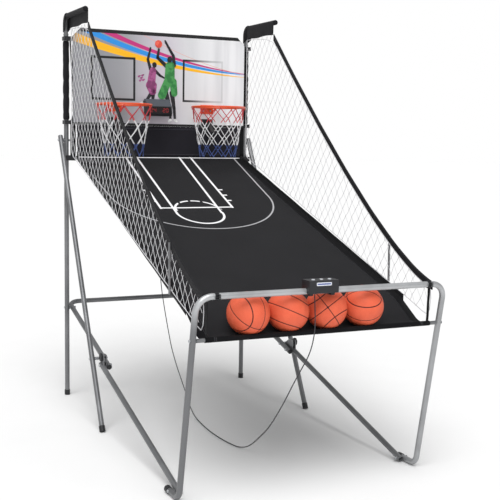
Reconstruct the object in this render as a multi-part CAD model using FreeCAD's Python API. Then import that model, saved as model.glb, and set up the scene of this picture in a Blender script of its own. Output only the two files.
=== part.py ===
"""Folding two-player basketball arcade game: tube frame, cloth ramp, two hoops, nets and balls.

Frame: millimetres, +Z up, the player stands at -Y and the board faces the player.
The sizes below measure Y from the plane of the rear uprights. Each node is then moved
back by FRAME_SHIFT, so that the origin lies on the floor at the middle of the footprint.
"""
import os

import FreeCAD, Part
from FreeCAD import Vector
from math import acos, atan2, cos, degrees, pi, radians, sin, sqrt, tan

# ---- driving dimensions -------------------------------------------------------------
UPRIGHT_SPACING = 1052.0     # between the centre lines of the rear uprights
UPRIGHT_HEIGHT = 1945.0
TUBE_OD = 25.0
TUBE_WALL = 1.2
SIDE_GAP = 4.0               # washer or plate between tubes that lie side by side

LEG_TOP_Z = 1393.0           # bolt of the inclined leg on the upright
LEG_FOOT_Y = -759.0
ARM_PIVOT_Z = 485.0          # bolt of the lower tube on the upright
LOWER_SLOPE = 0.277          # fall of the lower tubes, mm per mm forward
LOWER_BACK_Y = 72.0          # cross tube behind the uprights
LOWER_BEND = 60.0
FOLD_Y = -655.0              # pivot of the folding front frame

FRONT_BAR_Y = -1923.0
FRONT_BAR_Z = 833.0
FRONT_BEND = 62.0
FOOT_BEND = 45.0
FOOT_RUN = 125.0             # flat foot behind the leg's lower bend

TOP_ARM_RISE = 97.0          # above the top of the upright
TOP_ARM_REACH = 375.0
TOP_ARM_OD = 22.0
TOP_ARM_BEND = 40.0
SPIGOT_LENGTH = 120.0

BOARD_FRONT_Y = -38.0
BOARD_BOTTOM_Z = 1477.0
BOARD_TOP_Z = 1985.0
BOARD_HALF_WIDTH = 500.0
BOARD_CHAMFER = 44.0
BOARD_TUBE_OD = 19.0
CLOTH = 2.0                  # thickness of the sewn cloth panels

RAMP_REAR_Z = 1311.0
RAMP_SLOPE = 0.3416
RAMP_REAR_HALF = 479.0
RAMP_FRONT_HALF = 506.0
RAMP_BREAK_Y = -1680.0       # where the cloth starts to sag into the ball tray
ROD_OD = 16.0

BALL_DIAMETER = 170.0
BALL_GAP = 2.0
BALL_ROW_X = -46.0
BALL_FACE_Y = -1893.0        # point of a ball that lies nearest the control box
BALL_FACE_Z = 814.0

RIM_X = 270.0
RIM_Z = 1585.0
RIM_DIAMETER = 290.0         # centre line of the ring
RIM_WIRE = 10.0
RIM_REACH = 166.0            # from the board's face to the centre of the ring
NET_BOTTOM_Z = 1314.0
NET_BOTTOM_DIAMETER = 208.0

CASE_X = -36.0               # control box on the front bar
CASE_WIDTH = 130.0
CASE_DEPTH = 62.0
CASE_TOP_Z = 877.0
CASE_BOTTOM_Z = 827.0

SCORE_X = -32.0
SCORE_WIDTH = 140.0
SCORE_HEIGHT = 92.0
SCORE_DEPTH = 60.0
SCORE_Z = 1532.0

CABLE_OD = 5.0
SEAT = 0.3                   # clearance between pieces that only touch
PIN_CLEARANCE = 0.3

SLEEVE_WALL = 2.5            # cloth sleeves on the arms
SLEEVE_LOW_Z = 1500.0        # padded sleeve on the upright
SLEEVE_END = 70.0            # below the top of the board
SLEEVE_PAD = 4.5
FLAP_DROP = 66.0
BOARD_BEND = 30.0
RAIL_WIDTH = 60.0            # rails that carry the rims
RAIL_DEPTH = 12.0
CLAMP_WALL = 4.0
CLAMP_HEIGHT = 20.0
RIM_PLATE_T = 4.0
RIM_BOLT_OD = 6.0
RIM_BOLT_SPREAD = 44.0
NET_WALL = 3.0
HINGE_Z = 1500.0             # pin of the score paddle
HINGE_PIN_OD = 4.0
PADDLE_WIDTH = 24.0
PADDLE_LENGTH = 88.0
PADDLE_DROP = 35.0           # degrees below level at rest
GLAND_OD = 18.0
NET_THICKNESS = 2.5          # side net
WEBBING_THICKNESS = 3.0
WEBBING_WIDTH = 26.0
WEBBING_DROP = 64.0          # head of the webbing below the top arm
WEBBING_RUN = [(-1490.0, 940.0), (-1896.0, 838.0)]
NET_EDGE_RISE = 8.0          # lower edge of the net above the ramp
NET_REAR_Y = -45.0
FRONT_FOOT_CORNER_Y = -1765.0
FRONT_TUBE_END_Y = -1692.0
FOOT_BOLT_Y = -1676.0
LUG_T = 4.0
KNOB_T = 11.0
KNOB_OD = 42.0
KNOB_RISE = 42.0             # lock knob above the fold pivot
KNOB_AHEAD = 6.0
STUD_OD = 8.0
PLATE_T = 3.0                # fold plate
BOLT_OD = 8.0
CAP_WALL = 2.0               # plastic caps on the tube ends
CAP_END = 4.0
CAP_LENGTH = 28.0
CAP_PLAY = 0.1
CASE_WALL = 3.0
CASE_AHEAD = 34.0            # control box ahead of the bar's centre line
BUTTON_OD = 14.0
BUTTON_TRAVEL = 2.0
BUTTON_PROUD = 3.0
STRAP_X = 474.0              # buckled strap on the front bar
STRAP_HALF = 8.0
STAY_OD = 10.0
STAY_Y = -1558.0
STAY_END = 5.4               # below the webbing's upper edge

# Control points of the signal cable, from the scoreboard's gland to the control box.
CABLE_POINTS = [
    (5, 6, 1530), (5, 7, 1464), (6, 9, 1398), (7, 12, 1332), (7, 14, 1266),
    (8, 15, 1200), (7, 16, 1134), (7, 16, 1068), (7, 15, 1002), (6, 12, 936),
    (5, 7, 870), (4, -1, 804), (2, -11, 739), (1, -25, 674), (1, -43, 610),
    (0, -66, 549), (-1, -97, 491), (-4, -134, 436), (-7, -173, 382), (-10, -213, 329),
    (-14, -255, 279), (-17, -304, 234), (-21, -356, 194), (-25, -412, 158), (-29, -467, 123),
    (-34, -524, 88), (-40, -580, 53), (-46, -638, 23), (-52, -702, 7), (-59, -768, 3),
    (-66, -834, 3), (-72, -899, 3), (-75, -965, 3), (-75, -1031, 3), (-72, -1097, 3),
    (-64, -1163, 3), (-52, -1228, 3), (-42, -1291, 21), (-39, -1349, 53), (-41, -1403, 90),
    (-43, -1457, 128), (-44, -1510, 168), (-45, -1558, 213), (-45, -1604, 261), (-45, -1648, 310),
    (-45, -1691, 361), (-45, -1732, 412), (-45, -1775, 463), (-45, -1819, 512), (-45, -1862, 562),
    (-46, -1895, 619), (-46, -1911, 683), (-46, -1907, 749), (-46, -1900, 815),
]

# ---- derived places ------------------------------------------------------------------
BOLT_HOLE = BOLT_OD + 2 * PIN_CLEARANCE
PLATE_GAP = (SIDE_GAP - PLATE_T) / 2
TUBE_R = TUBE_OD / 2
UPRIGHT_X = UPRIGHT_SPACING / 2
LEG_X = UPRIGHT_X + TUBE_OD + SIDE_GAP
ARM_X = UPRIGHT_X - TUBE_OD - SIDE_GAP
FRONT_TUBE_X = ARM_X + TUBE_OD + SIDE_GAP
FRONT_LEG_X = FRONT_TUBE_X + TUBE_OD + CAP_WALL + SEAT
FOLD_Z = ARM_PIVOT_Z + LOWER_SLOPE * FOLD_Y
TOP_ARM_Z = UPRIGHT_HEIGHT + TOP_ARM_RISE
SLEEVE_TOP_Z = BOARD_TOP_Z - SLEEVE_END
WEBBING_POLES = [(-TOP_ARM_REACH - 7.0, TOP_ARM_Z - WEBBING_DROP)] + WEBBING_RUN
FRAME_SHIFT = (CASE_AHEAD - FRONT_BAR_Y - LOWER_BACK_Y - TUBE_R) / 2
LEG_SLOPE = LEG_TOP_Z / -LEG_FOOT_Y
CROSS_Y = (ARM_PIVOT_Z - LEG_TOP_Z) / (LEG_SLOPE - LOWER_SLOPE)
CROSS_Z = ARM_PIVOT_Z + LOWER_SLOPE * CROSS_Y
FOOT_Z = CAP_WALL + CAP_PLAY + TUBE_R
BOARD_TUBE_R = BOARD_TUBE_OD / 2
BOARD_TUBE_Y = BOARD_FRONT_Y + CLOTH + SEAT + BOARD_TUBE_R
RAMP_REAR_Y = BOARD_TUBE_Y
RAMP_ANGLE = atan2(RAMP_SLOPE, 1.0)
BALL_R = BALL_DIAMETER / 2
BALL_SPACING = BALL_DIAMETER + BALL_GAP
BALL_Y = BALL_FACE_Y + 0.6 * BALL_R
BALL_Z = BALL_FACE_Z - 0.8 * BALL_R
ROD_R = ROD_OD / 2
ROD_DISTANCE = BALL_R + SEAT + CLOTH + SEAT + ROD_R
ROD_DROP_ANGLE = radians(239.0)
ROD_Y = BALL_Y + ROD_DISTANCE * cos(ROD_DROP_ANGLE)
ROD_Z = BALL_Z + ROD_DISTANCE * sin(ROD_DROP_ANGLE)
RIM_Y = BOARD_FRONT_Y - RIM_REACH
GLAND_X = CABLE_POINTS[0][0]
GLAND_Z = SCORE_Z + 40.0
FOOT_BOLT_Z = ARM_PIVOT_Z + LOWER_SLOPE * FOOT_BOLT_Y - 3.0
RAMP_BAR_Z = RAMP_REAR_Z - (CLOTH + SEAT + BOARD_TUBE_R) / cos(RAMP_ANGLE)
RIM_BOLT_Z = RIM_Z - 17.0
HINGE_Y = BOARD_FRONT_Y - 26.0
NET_X = UPRIGHT_X - TOP_ARM_OD / 2 - SEAT - SLEEVE_WALL - SEAT - NET_THICKNESS


def ramp_z(y):
    """Height of the ramp's upper face, ahead of its rear bar."""
    return RAMP_REAR_Z + RAMP_SLOPE * (y - RAMP_REAR_Y)


def export(node, shapes):
    """Write one node from one solid or from a list of separate solids."""
    parts = shapes if isinstance(shapes, list) else [shapes]
    shape = parts[0] if len(parts) == 1 else Part.makeCompound(parts)
    shape = shape.translated(Vector(0, FRAME_SHIFT, 0))
    shape.exportStep("parts/%s.step" % node)


def box(x0, x1, y0, y1, z0, z1):
    low = Vector(min(x0, x1), min(y0, y1), min(z0, z1))
    return Part.makeBox(abs(x1 - x0), abs(y1 - y0), abs(z1 - z0), low)


def rod(start, end, diameter):
    a = Vector(*start)
    b = Vector(*end)
    return Part.makeCylinder(diameter / 2, (b - a).Length, a, b - a)


def joined(shapes):
    """One solid from pieces that are welded or moulded together."""
    result = shapes[0]
    for shape in shapes[1:]:
        result = result.fuse(shape)
    return result.removeSplitter()


def corner(before, point, after, radius):
    """Tangent points and middle of the arc that rounds one corner of a path."""
    a = (before - point).normalize()
    b = (after - point).normalize()
    turn = pi - acos(max(-1.0, min(1.0, a.dot(b))))
    leg = radius * tan(turn / 2)
    inward = (a + b).normalize()
    middle = point + inward * (radius / cos(turn / 2) - radius)
    return point + a * leg, middle, point + b * leg


def path(points, radii):
    """Straight runs joined by tangent arcs, one radius for each inner point."""
    places = [Vector(*p) for p in points]
    edges = []
    start = places[0]
    for index, radius in enumerate(radii, 1):
        first, middle, last = corner(places[index - 1], places[index], places[index + 1], radius)
        if (first - start).Length > 1e-4:
            edges.append(Part.LineSegment(start, first).toShape())
        edges.append(Part.Arc(first, middle, last).toShape())
        start = last
    edges.append(Part.LineSegment(start, places[-1]).toShape())
    return Part.Wire(edges)


def swept(wire, direction, diameter):
    start = wire.Edges[0].valueAt(wire.Edges[0].FirstParameter)
    profile = Part.Wire(Part.Circle(start, Vector(*direction), diameter / 2).toShape())
    return wire.makePipeShell([profile], True, True)


def tube(points, radius=0.0, od=TUBE_OD, wall=TUBE_WALL):
    """A round tube along a bent path, open at both ends."""
    wire = path(points, [radius] * (len(points) - 2))
    way = Vector(*points[1]) - Vector(*points[0])
    return swept(wire, way, od).cut(swept(wire, way, od - 2 * wall))


def on_lower_line(y, x):
    return (x, y, ARM_PIVOT_Z + LOWER_SLOPE * y)


def on_leg(z, x):
    return (x, (z - LEG_TOP_Z) / LEG_SLOPE, z)


def drilled(shape, holes):
    """Cut cross holes along X: each is (x, y, z, diameter)."""
    for x, y, z, diameter in holes:
        reach = TUBE_OD
        shape = shape.cut(rod((x - reach, y, z), (x + reach, y, z), diameter))
    return shape


def uprights():
    for name, side in (("left", -1), ("right", 1)):
        x = side * UPRIGHT_X
        shape = tube([(x, 0, CAP_END), (x, 0, UPRIGHT_HEIGHT)])
        holes = [(x, 0, LEG_TOP_Z, BOLT_HOLE), (x, 0, ARM_PIVOT_Z, BOLT_HOLE)]
        export(name + "_upright", drilled(shape, holes))


def inclined_legs():
    for name, side in (("left", -1), ("right", 1)):
        x = side * LEG_X
        shape = tube([on_leg(7.0, x), on_leg(LEG_TOP_Z + 22.0, x)])
        holes = [(x, 0, LEG_TOP_Z, BOLT_HOLE), (x, CROSS_Y, CROSS_Z, BOLT_HOLE)]
        export(name + "_inclined_leg", drilled(shape, holes))


def lower_rear_tube():
    """U tube: cross tube behind the uprights and one arm down each side."""
    end_y = FOLD_Y - 22.0
    points = [on_lower_line(end_y, -ARM_X), on_lower_line(LOWER_BACK_Y, -ARM_X),
              on_lower_line(LOWER_BACK_Y, ARM_X), on_lower_line(end_y, ARM_X)]
    shape = tube(points, LOWER_BEND)
    for side in (-1, 1):
        x = side * ARM_X
        shape = drilled(shape, [(x, 0, ARM_PIVOT_Z, BOLT_HOLE), (x, CROSS_Y, CROSS_Z, BOLT_HOLE),
                                (x, FOLD_Y, FOLD_Z, BOLT_HOLE)])
    export("lower_rear_tube", shape)


def cap_on(end, way, bore_od):
    """Plastic cap over a tube's end: a cup that also closes the end."""
    a = Vector(*end)
    d = Vector(*way).normalize()
    outer = Part.makeCylinder(bore_od / 2 + CAP_PLAY + CAP_WALL, CAP_LENGTH, a - d * CAP_END, d)
    bore = Part.makeCylinder(bore_od / 2 + CAP_PLAY, CAP_LENGTH, a, d)
    return outer.cut(bore)


def rear_foot_caps():
    caps = []
    for side in (-1, 1):
        caps.append(cap_on((side * UPRIGHT_X, 0, CAP_END), (0, 0, 1), TUBE_OD))
        up = (0, 1.0, LEG_SLOPE)
        cap = cap_on(on_leg(7.0, side * LEG_X), up, TUBE_OD)
        floor = box(side * LEG_X - 40, side * LEG_X + 40, LEG_FOOT_Y - 40, LEG_FOOT_Y + 40, -40, 0)
        caps.append(cap.cut(floor))
    export("rear_foot_caps", caps)


def bolt_x(x0, x1, y, z, head=True):
    """Bolt along X from its head at x0 to its nut at x1."""
    way = 1 if x1 > x0 else -1
    shank = rod((x0, y, z), (x1, y, z), BOLT_OD)
    head_part = rod((x0 - way * 5.0, y, z), (x0, y, z), 15.0)
    nut = rod((x1, y, z), (x1 + way * 6.5, y, z), 14.0)
    return joined([shank, head_part, nut])


def rear_bolts():
    """Leg bolts, lower tube bolts and crossing bolts, with their washers and spacers."""
    bolts = []
    for side in (-1, 1):
        leg_out = side * (LEG_X + TUBE_R + SEAT)
        upright_in = side * (UPRIGHT_X - TUBE_R - SEAT)
        leg_bolt = bolt_x(leg_out, upright_in, 0, LEG_TOP_Z)
        washer = rod((side * (UPRIGHT_X + TUBE_R + SEAT), 0, LEG_TOP_Z),
                     (side * (LEG_X - TUBE_R - SEAT), 0, LEG_TOP_Z), 20.0)
        bolts.append(joined([leg_bolt, washer]))
        upright_out = side * (UPRIGHT_X + TUBE_R + SEAT)
        arm_in = side * (ARM_X - TUBE_R - SEAT)
        pivot = bolt_x(upright_out, arm_in, 0, ARM_PIVOT_Z)
        gap = rod((side * (ARM_X + TUBE_R + SEAT), 0, ARM_PIVOT_Z),
                  (side * (UPRIGHT_X - TUBE_R - SEAT), 0, ARM_PIVOT_Z), 20.0)
        bolts.append(joined([pivot, gap]))
        cross = bolt_x(leg_out, arm_in, CROSS_Y, CROSS_Z)
        spacer = rod((side * (ARM_X + TUBE_R + SEAT), CROSS_Y, CROSS_Z),
                     (side * (LEG_X - TUBE_R - SEAT), CROSS_Y, CROSS_Z), 16.0)
        bolts.append(joined([cross, spacer]))
    export("rear_bolts", bolts)


def fold_plates():
    """Lock plate on the end of each lower rear arm, behind the folding front tube."""
    corners = [(FOLD_Y + 62, FOLD_Z + 4), (FOLD_Y - 16, FOLD_Z - 16), (FOLD_Y - 26, FOLD_Z + 24),
               (FOLD_Y - 26, FOLD_Z + KNOB_RISE + 14), (FOLD_Y + 12, FOLD_Z + KNOB_RISE + 14),
               (FOLD_Y + 58, FOLD_Z + 30)]
    plates = []
    for side in (-1, 1):
        x = side * (ARM_X + TUBE_R + PLATE_GAP)
        outline = Part.makePolygon([Vector(x, y, z) for y, z in corners + corners[:1]])
        plate = Part.Face(outline).extrude(Vector(side * PLATE_T, 0, 0))
        plates.append(drilled(plate, [(x, FOLD_Y, FOLD_Z, BOLT_HOLE)]))
    export("fold_plates", plates)


def fold_pins():
    pins = []
    for side in (-1, 1):
        outer = side * (FRONT_TUBE_X + TUBE_R + SEAT)
        inner = side * (ARM_X - TUBE_R - SEAT)
        pins.append(bolt_x(outer, inner, FOLD_Y, FOLD_Z))
    export("fold_pins", pins)


def lower_arm_plugs():
    """Plastic plugs in the open ends of the lower rear arms."""
    plugs = []
    for side in (-1, 1):
        a = Vector(*on_lower_line(FOLD_Y - 22.0, side * ARM_X))
        d = Vector(0, 1, LOWER_SLOPE).normalize()
        flange = Part.makeCylinder(TUBE_R, 4.0, a - d * 4.0, d)
        stem = Part.makeCylinder(TUBE_R - TUBE_WALL - 0.1, 10.0, a, d)
        plugs.append(joined([flange, stem]))
    export("lower_arm_plugs", plugs)


def top_arms():
    """L-shaped arm that plugs into the upright and reaches forward over the side net."""
    for name, side in (("left", -1), ("right", 1)):
        x = side * UPRIGHT_X
        points = [(x, 0, UPRIGHT_HEIGHT - SPIGOT_LENGTH), (x, 0, TOP_ARM_Z), (x, -TOP_ARM_REACH, TOP_ARM_Z)]
        arm = tube(points, TOP_ARM_BEND, TOP_ARM_OD)
        collar = rod((x, 0, UPRIGHT_HEIGHT), (x, 0, UPRIGHT_HEIGHT + 8), TUBE_OD + 2)
        collar = collar.cut(rod((x, 0, UPRIGHT_HEIGHT - 1), (x, 0, UPRIGHT_HEIGHT + 9), TOP_ARM_OD - 0.4))
        export(name + "_top_arm", joined([arm, collar]))


def arm_sleeves():
    """Cloth sleeve that hangs over each top arm, closed at the tip, with a flap below."""
    wall = SLEEVE_WALL
    half = TOP_ARM_OD / 2 + SEAT
    drop = TOP_ARM_Z - FLAP_DROP
    for name, side in (("left", -1), ("right", 1)):
        x = side * UPRIGHT_X
        back = -TOP_ARM_BEND - 2.0
        tip = -TOP_ARM_REACH - SEAT
        over = rod((x, back, TOP_ARM_Z), (x, tip - wall, TOP_ARM_Z), 2 * (half + wall))
        hollow = rod((x, back + 1, TOP_ARM_Z), (x, tip, TOP_ARM_Z), 2 * half)
        flap = box(x - side * half, x - side * (half + wall), back, tip - wall, drop, TOP_ARM_Z)
        export(name + "_arm_sleeve", joined([over, flap]).cut(hollow))


def upright_sleeves():
    """Padded black sleeve round the upper part of each upright."""
    sleeves = []
    for side in (-1, 1):
        x = side * UPRIGHT_X
        outer = rod((x, 0, SLEEVE_LOW_Z), (x, 0, SLEEVE_TOP_Z), TUBE_OD + 2 * SLEEVE_PAD)
        bore = rod((x, 0, SLEEVE_LOW_Z - 1), (x, 0, SLEEVE_TOP_Z + 1), TUBE_OD + 2 * SEAT)
        sleeves.append(outer.cut(bore))
    export("upright_sleeves", sleeves)


def board_outline(inset):
    """Corner points of the chamfered board, clockwise from the lower left."""
    half = BOARD_HALF_WIDTH - inset
    low = BOARD_BOTTOM_Z + inset
    top = BOARD_TOP_Z - inset
    cut = BOARD_CHAMFER
    return [(-half, low), (-half, top - cut), (-half + cut, top), (half - cut, top),
            (half, top - cut), (half, low)]


def board_frame():
    """Chamfered tube frame behind the board, with two upright rails that carry the rims."""
    inset = BOARD_TUBE_R + CLOTH
    outline = board_outline(inset)
    start = (0.0, outline[0][1])
    points = [(x, BOARD_TUBE_Y, z) for x, z in [start] + outline + [start]]
    wire = path(points, [BOARD_BEND] * len(outline))
    outer = swept(wire, (-1, 0, 0), BOARD_TUBE_OD)
    frame = [outer.cut(swept(wire, (-1, 0, 0), BOARD_TUBE_OD - 2 * TUBE_WALL))]
    front = BOARD_FRONT_Y + CLOTH + SEAT
    for side in (-1, 1):
        x = side * RIM_X
        rail = box(x - RAIL_WIDTH / 2, x + RAIL_WIDTH / 2, front, front + RAIL_DEPTH,
                   BOARD_BOTTOM_Z + inset, BOARD_TOP_Z - inset)
        frame.append(drilled_y(rail.cut(outer), side))
    export("board_frame", joined(frame))


def drilled_y(shape, side):
    """Cut the two rim bolt holes, which run along Y, on one side of the board."""
    for dx in (-RIM_BOLT_SPREAD / 2, RIM_BOLT_SPREAD / 2):
        x = side * RIM_X + dx
        shape = shape.cut(rod((x, BOARD_FRONT_Y - 60, RIM_BOLT_Z), (x, BOARD_FRONT_Y + 60, RIM_BOLT_Z),
                              RIM_BOLT_OD + 2 * PIN_CLEARANCE))
    return shape


def banner():
    """Printed board: a thin stiff sheet stretched over the front of its frame."""
    outline = board_outline(0.0)
    outline = [(x, BOARD_FRONT_Y, z) for x, z in outline + outline[:1]]
    face = Part.Face(Part.makePolygon([Vector(*p) for p in outline]))
    sheet = face.extrude(Vector(0, CLOTH, 0))
    for side in (-1, 1):
        sheet = drilled_y(sheet, side)
    hole = rod((GLAND_X, BOARD_FRONT_Y - 5, GLAND_Z), (GLAND_X, BOARD_FRONT_Y + 5, GLAND_Z),
               GLAND_OD + 2 * SEAT)
    export("backboard_banner", sheet.cut(hole))


def frame_clamps():
    """Plastic blocks that grip the uprights and hold the board frame and the ramp's rear bar."""
    blocks = []
    for side in (-1, 1):
        upright = rod((side * UPRIGHT_X, 0, 0), (side * UPRIGHT_X, 0, UPRIGHT_HEIGHT), TUBE_OD + 2 * SEAT)
        outline = board_outline(BOARD_TUBE_R + CLOTH)
        side_x = side * (BOARD_HALF_WIDTH - BOARD_TUBE_R - CLOTH)
        start = (0.0, outline[0][1])
        points = [(x, BOARD_TUBE_Y, z) for x, z in [start] + outline + [start]]
        ring = swept(path(points, [BOARD_BEND] * len(outline)), (-1, 0, 0), BOARD_TUBE_OD + 2 * SEAT)
        outer_x = side * (UPRIGHT_X + TUBE_R + CLAMP_WALL)
        back = TUBE_R + CLAMP_WALL
        for z in (BOARD_BOTTOM_Z + 1, SLEEVE_TOP_Z + 2):
            block = box(side_x, outer_x, BOARD_TUBE_Y - BOARD_TUBE_R, back, z, z + CLAMP_HEIGHT)
            blocks.append(block.cut(upright).cut(ring))
        bar = rod((-UPRIGHT_X, RAMP_REAR_Y, RAMP_BAR_Z), (UPRIGHT_X, RAMP_REAR_Y, RAMP_BAR_Z),
                  BOARD_TUBE_OD + 2 * SEAT)
        front = RAMP_REAR_Y - BOARD_TUBE_R - CLAMP_WALL
        low = RAMP_BAR_Z - BOARD_TUBE_R - CLAMP_WALL
        block = box(side * (RAMP_REAR_HALF + 6), outer_x, front, back, low, RAMP_BAR_Z + BOARD_TUBE_R + CLAMP_WALL)
        blocks.append(block.cut(upright).cut(bar))
    export("frame_clamps", blocks)


def ramp_rear_bar():
    half = UPRIGHT_X - TUBE_R - SIDE_GAP
    export("ramp_rear_bar", tube([(-half, RAMP_REAR_Y, RAMP_BAR_Z), (half, RAMP_REAR_Y, RAMP_BAR_Z)],
                                 od=BOARD_TUBE_OD))


def rear_panel():
    """Cloth panel that closes the gap between the board and the ramp."""
    half = RAMP_REAR_HALF - SEAT
    low = ramp_z(BOARD_FRONT_Y + CLOTH) + SEAT
    export("rear_panel", box(-half, half, BOARD_FRONT_Y, BOARD_FRONT_Y + CLOTH, low, BOARD_BOTTOM_Z - SEAT))


def plank(a, b):
    """Side view of a straight stretch of cloth whose upper face runs from a to b."""
    way = Vector(0, b[0] - a[0], b[1] - a[1]).normalize()
    down = Vector(0, -way.z, way.y) * CLOTH
    corners = [Vector(0, *a), Vector(0, *b), Vector(0, *b) + down, Vector(0, *a) + down]
    return Part.Face(Part.makePolygon(corners + corners[:1]))


def band(centre, inner, outer, start, end):
    """Side view of a curved stretch of cloth round a centre, between two angles in degrees."""
    def at(radius, angle):
        turn = radians(angle)
        return Vector(0, centre[0] + radius * cos(turn), centre[1] + radius * sin(turn))
    middle = (start + end) / 2
    far = Part.Arc(at(outer, start), at(outer, middle), at(outer, end)).toShape()
    near = Part.Arc(at(inner, end), at(inner, middle), at(inner, start)).toShape()
    sides = [Part.LineSegment(at(outer, end), at(inner, end)).toShape(),
             Part.LineSegment(at(inner, start), at(outer, start)).toShape()]
    return Part.Face(Part.Wire([far, sides[0], near, sides[1]]))


def ramp_cloth():
    """Cloth ramp: flat from the rear bar, then a sagging tray for the balls, then round the rod."""
    ball = (BALL_Y, BALL_Z)
    inner = BALL_R + SEAT
    knee = (RAMP_BREAK_Y, ramp_z(RAMP_BREAK_Y))
    to_knee = Vector(0, knee[0] - ball[0], knee[1] - ball[1])
    tangent = atan2(to_knee.z, to_knee.y) - acos(inner / to_knee.Length)
    touch = (ball[0] + inner * cos(tangent), ball[1] + inner * sin(tangent))
    wrap = BOARD_TUBE_R + SEAT
    normal = 90.0 + degrees(RAMP_ANGLE)
    rear = (RAMP_REAR_Y + (wrap + CLOTH) * cos(radians(normal)), RAMP_BAR_Z + (wrap + CLOTH) * sin(radians(normal)))
    drop = degrees(ROD_DROP_ANGLE)
    faces = [band((RAMP_REAR_Y, RAMP_BAR_Z), wrap, wrap + CLOTH, -40.0, normal), plank(rear, knee),
             plank(knee, touch),
             band(ball, inner, inner + CLOTH, degrees(tangent) + 360.0, drop),
             band((ROD_Y, ROD_Z), ROD_R + SEAT, ROD_R + SEAT + CLOTH, drop - 180.0, 300.0)]
    half = RAMP_FRONT_HALF
    strips = [face.extrude(Vector(2 * half, 0, 0)) for face in faces]
    cloth = joined(strips)
    cloth.translate(Vector(-half, 0, 0))
    front = ROD_Y - 40.0
    rear_edge = RAMP_REAR_Y + 20.0
    plan = [(-RAMP_REAR_HALF, rear_edge), (-half, ROD_Y), (-half, front), (half, front),
            (half, ROD_Y), (RAMP_REAR_HALF, rear_edge)]
    plan = [Vector(x, y, ROD_Z - 100) for x, y in plan + plan[:1]]
    prism = Part.Face(Part.makePolygon(plan)).extrude(Vector(0, 0, RAMP_REAR_Z))
    export("ramp_cloth", cloth.common(prism))


def ramp_front_rod():
    half = FRONT_LEG_X - TUBE_R - SEAT
    shape = rod((-half, ROD_Y, ROD_Z), (half, ROD_Y, ROD_Z), ROD_OD)
    shape = shape.cut(rod((-half - 1, ROD_Y, ROD_Z), (half + 1, ROD_Y, ROD_Z), BOLT_HOLE))
    export("ramp_front_rod", shape)


def rims():
    """Steel ring on a bracket, one in front of each half of the board."""
    ring_r = RIM_DIAMETER / 2
    face = BOARD_FRONT_Y - SEAT
    for name, side in (("left", -1), ("right", 1)):
        x = side * RIM_X
        ring = Part.makeTorus(ring_r, RIM_WIRE / 2, Vector(x, RIM_Y, RIM_Z))
        plate = box(x - 38, x + 38, face - RIM_PLATE_T, face, RIM_Z - 34, RIM_Z + 16)
        plate = drilled_y(plate, side)
        tongue = box(x - 26, x + 26, RIM_Y + ring_r, face - RIM_PLATE_T, RIM_Z - 2, RIM_Z + 2)
        pieces = [ring, plate, tongue]
        for dx in (-48, 48):
            reach = sqrt(ring_r ** 2 - dx ** 2)
            pieces.append(rod((x + dx * 0.6, face - RIM_PLATE_T, RIM_Z - 26), (x + dx, RIM_Y + reach, RIM_Z), 6.0))
        export(name + "_rim", joined(pieces))


def rim_bolts():
    bolts = []
    for side in (-1, 1):
        for dx in (-RIM_BOLT_SPREAD / 2, RIM_BOLT_SPREAD / 2):
            x = side * RIM_X + dx
            front = BOARD_FRONT_Y - SEAT - RIM_PLATE_T - SEAT
            back = BOARD_FRONT_Y + CLOTH + SEAT + RAIL_DEPTH + SEAT
            shank = rod((x, front, RIM_BOLT_Z), (x, back, RIM_BOLT_Z), RIM_BOLT_OD)
            head = rod((x, front - 4, RIM_BOLT_Z), (x, front, RIM_BOLT_Z), 11.0)
            nut = rod((x, back, RIM_BOLT_Z), (x, back + 5, RIM_BOLT_Z), 11.0)
            bolts.append(joined([shank, head, nut]))
    export("rim_bolts", bolts)


def hoop_nets():
    """Net of each hoop as one tapered sleeve, with a slot behind for the score paddle."""
    top_r = RIM_DIAMETER / 2
    low_r = NET_BOTTOM_DIAMETER / 2
    top_z = RIM_Z - RIM_WIRE / 2 - SEAT
    for name, side in (("left", -1), ("right", 1)):
        x = side * RIM_X
        base = Vector(x, RIM_Y, NET_BOTTOM_Z)
        outer = Part.makeCone(low_r, top_r, top_z - NET_BOTTOM_Z, base)
        inner = Part.makeCone(low_r - NET_WALL, top_r - NET_WALL, top_z - NET_BOTTOM_Z, base)
        slot = box(x - PADDLE_WIDTH, x + PADDLE_WIDTH, RIM_Y + 40, BOARD_FRONT_Y - 1,
                   HINGE_Z - PADDLE_LENGTH - 12, HINGE_Z + 14)
        strut_room = box(x - 60, x + 60, RIM_Y + 90, BOARD_FRONT_Y, RIM_Z - 34, RIM_Z)
        export(name + "_hoop_net", outer.cut(inner).cut(slot).cut(strut_room))


def sensor_boxes():
    """Switch housing below each rim, with two ears that hold the paddle's pin."""
    for name, side in (("left", -1), ("right", 1)):
        x = side * RIM_X
        back = BOARD_FRONT_Y - SEAT
        front = HINGE_Y + 12.0
        pieces = [box(x - 32, x + 32, front, back, HINGE_Z - 22, HINGE_Z + 22)]
        for end in (-1, 1):
            inner = x + end * (PADDLE_WIDTH / 2 + 1.0)
            pieces.append(box(inner, inner + end * 4.0, HINGE_Y - 6, front, HINGE_Z - 7, HINGE_Z + 7))
        pieces.append(rod((x - PADDLE_WIDTH / 2 - 4, HINGE_Y, HINGE_Z),
                          (x + PADDLE_WIDTH / 2 + 4, HINGE_Y, HINGE_Z), HINGE_PIN_OD))
        export(name + "_sensor_box", joined(pieces))


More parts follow.
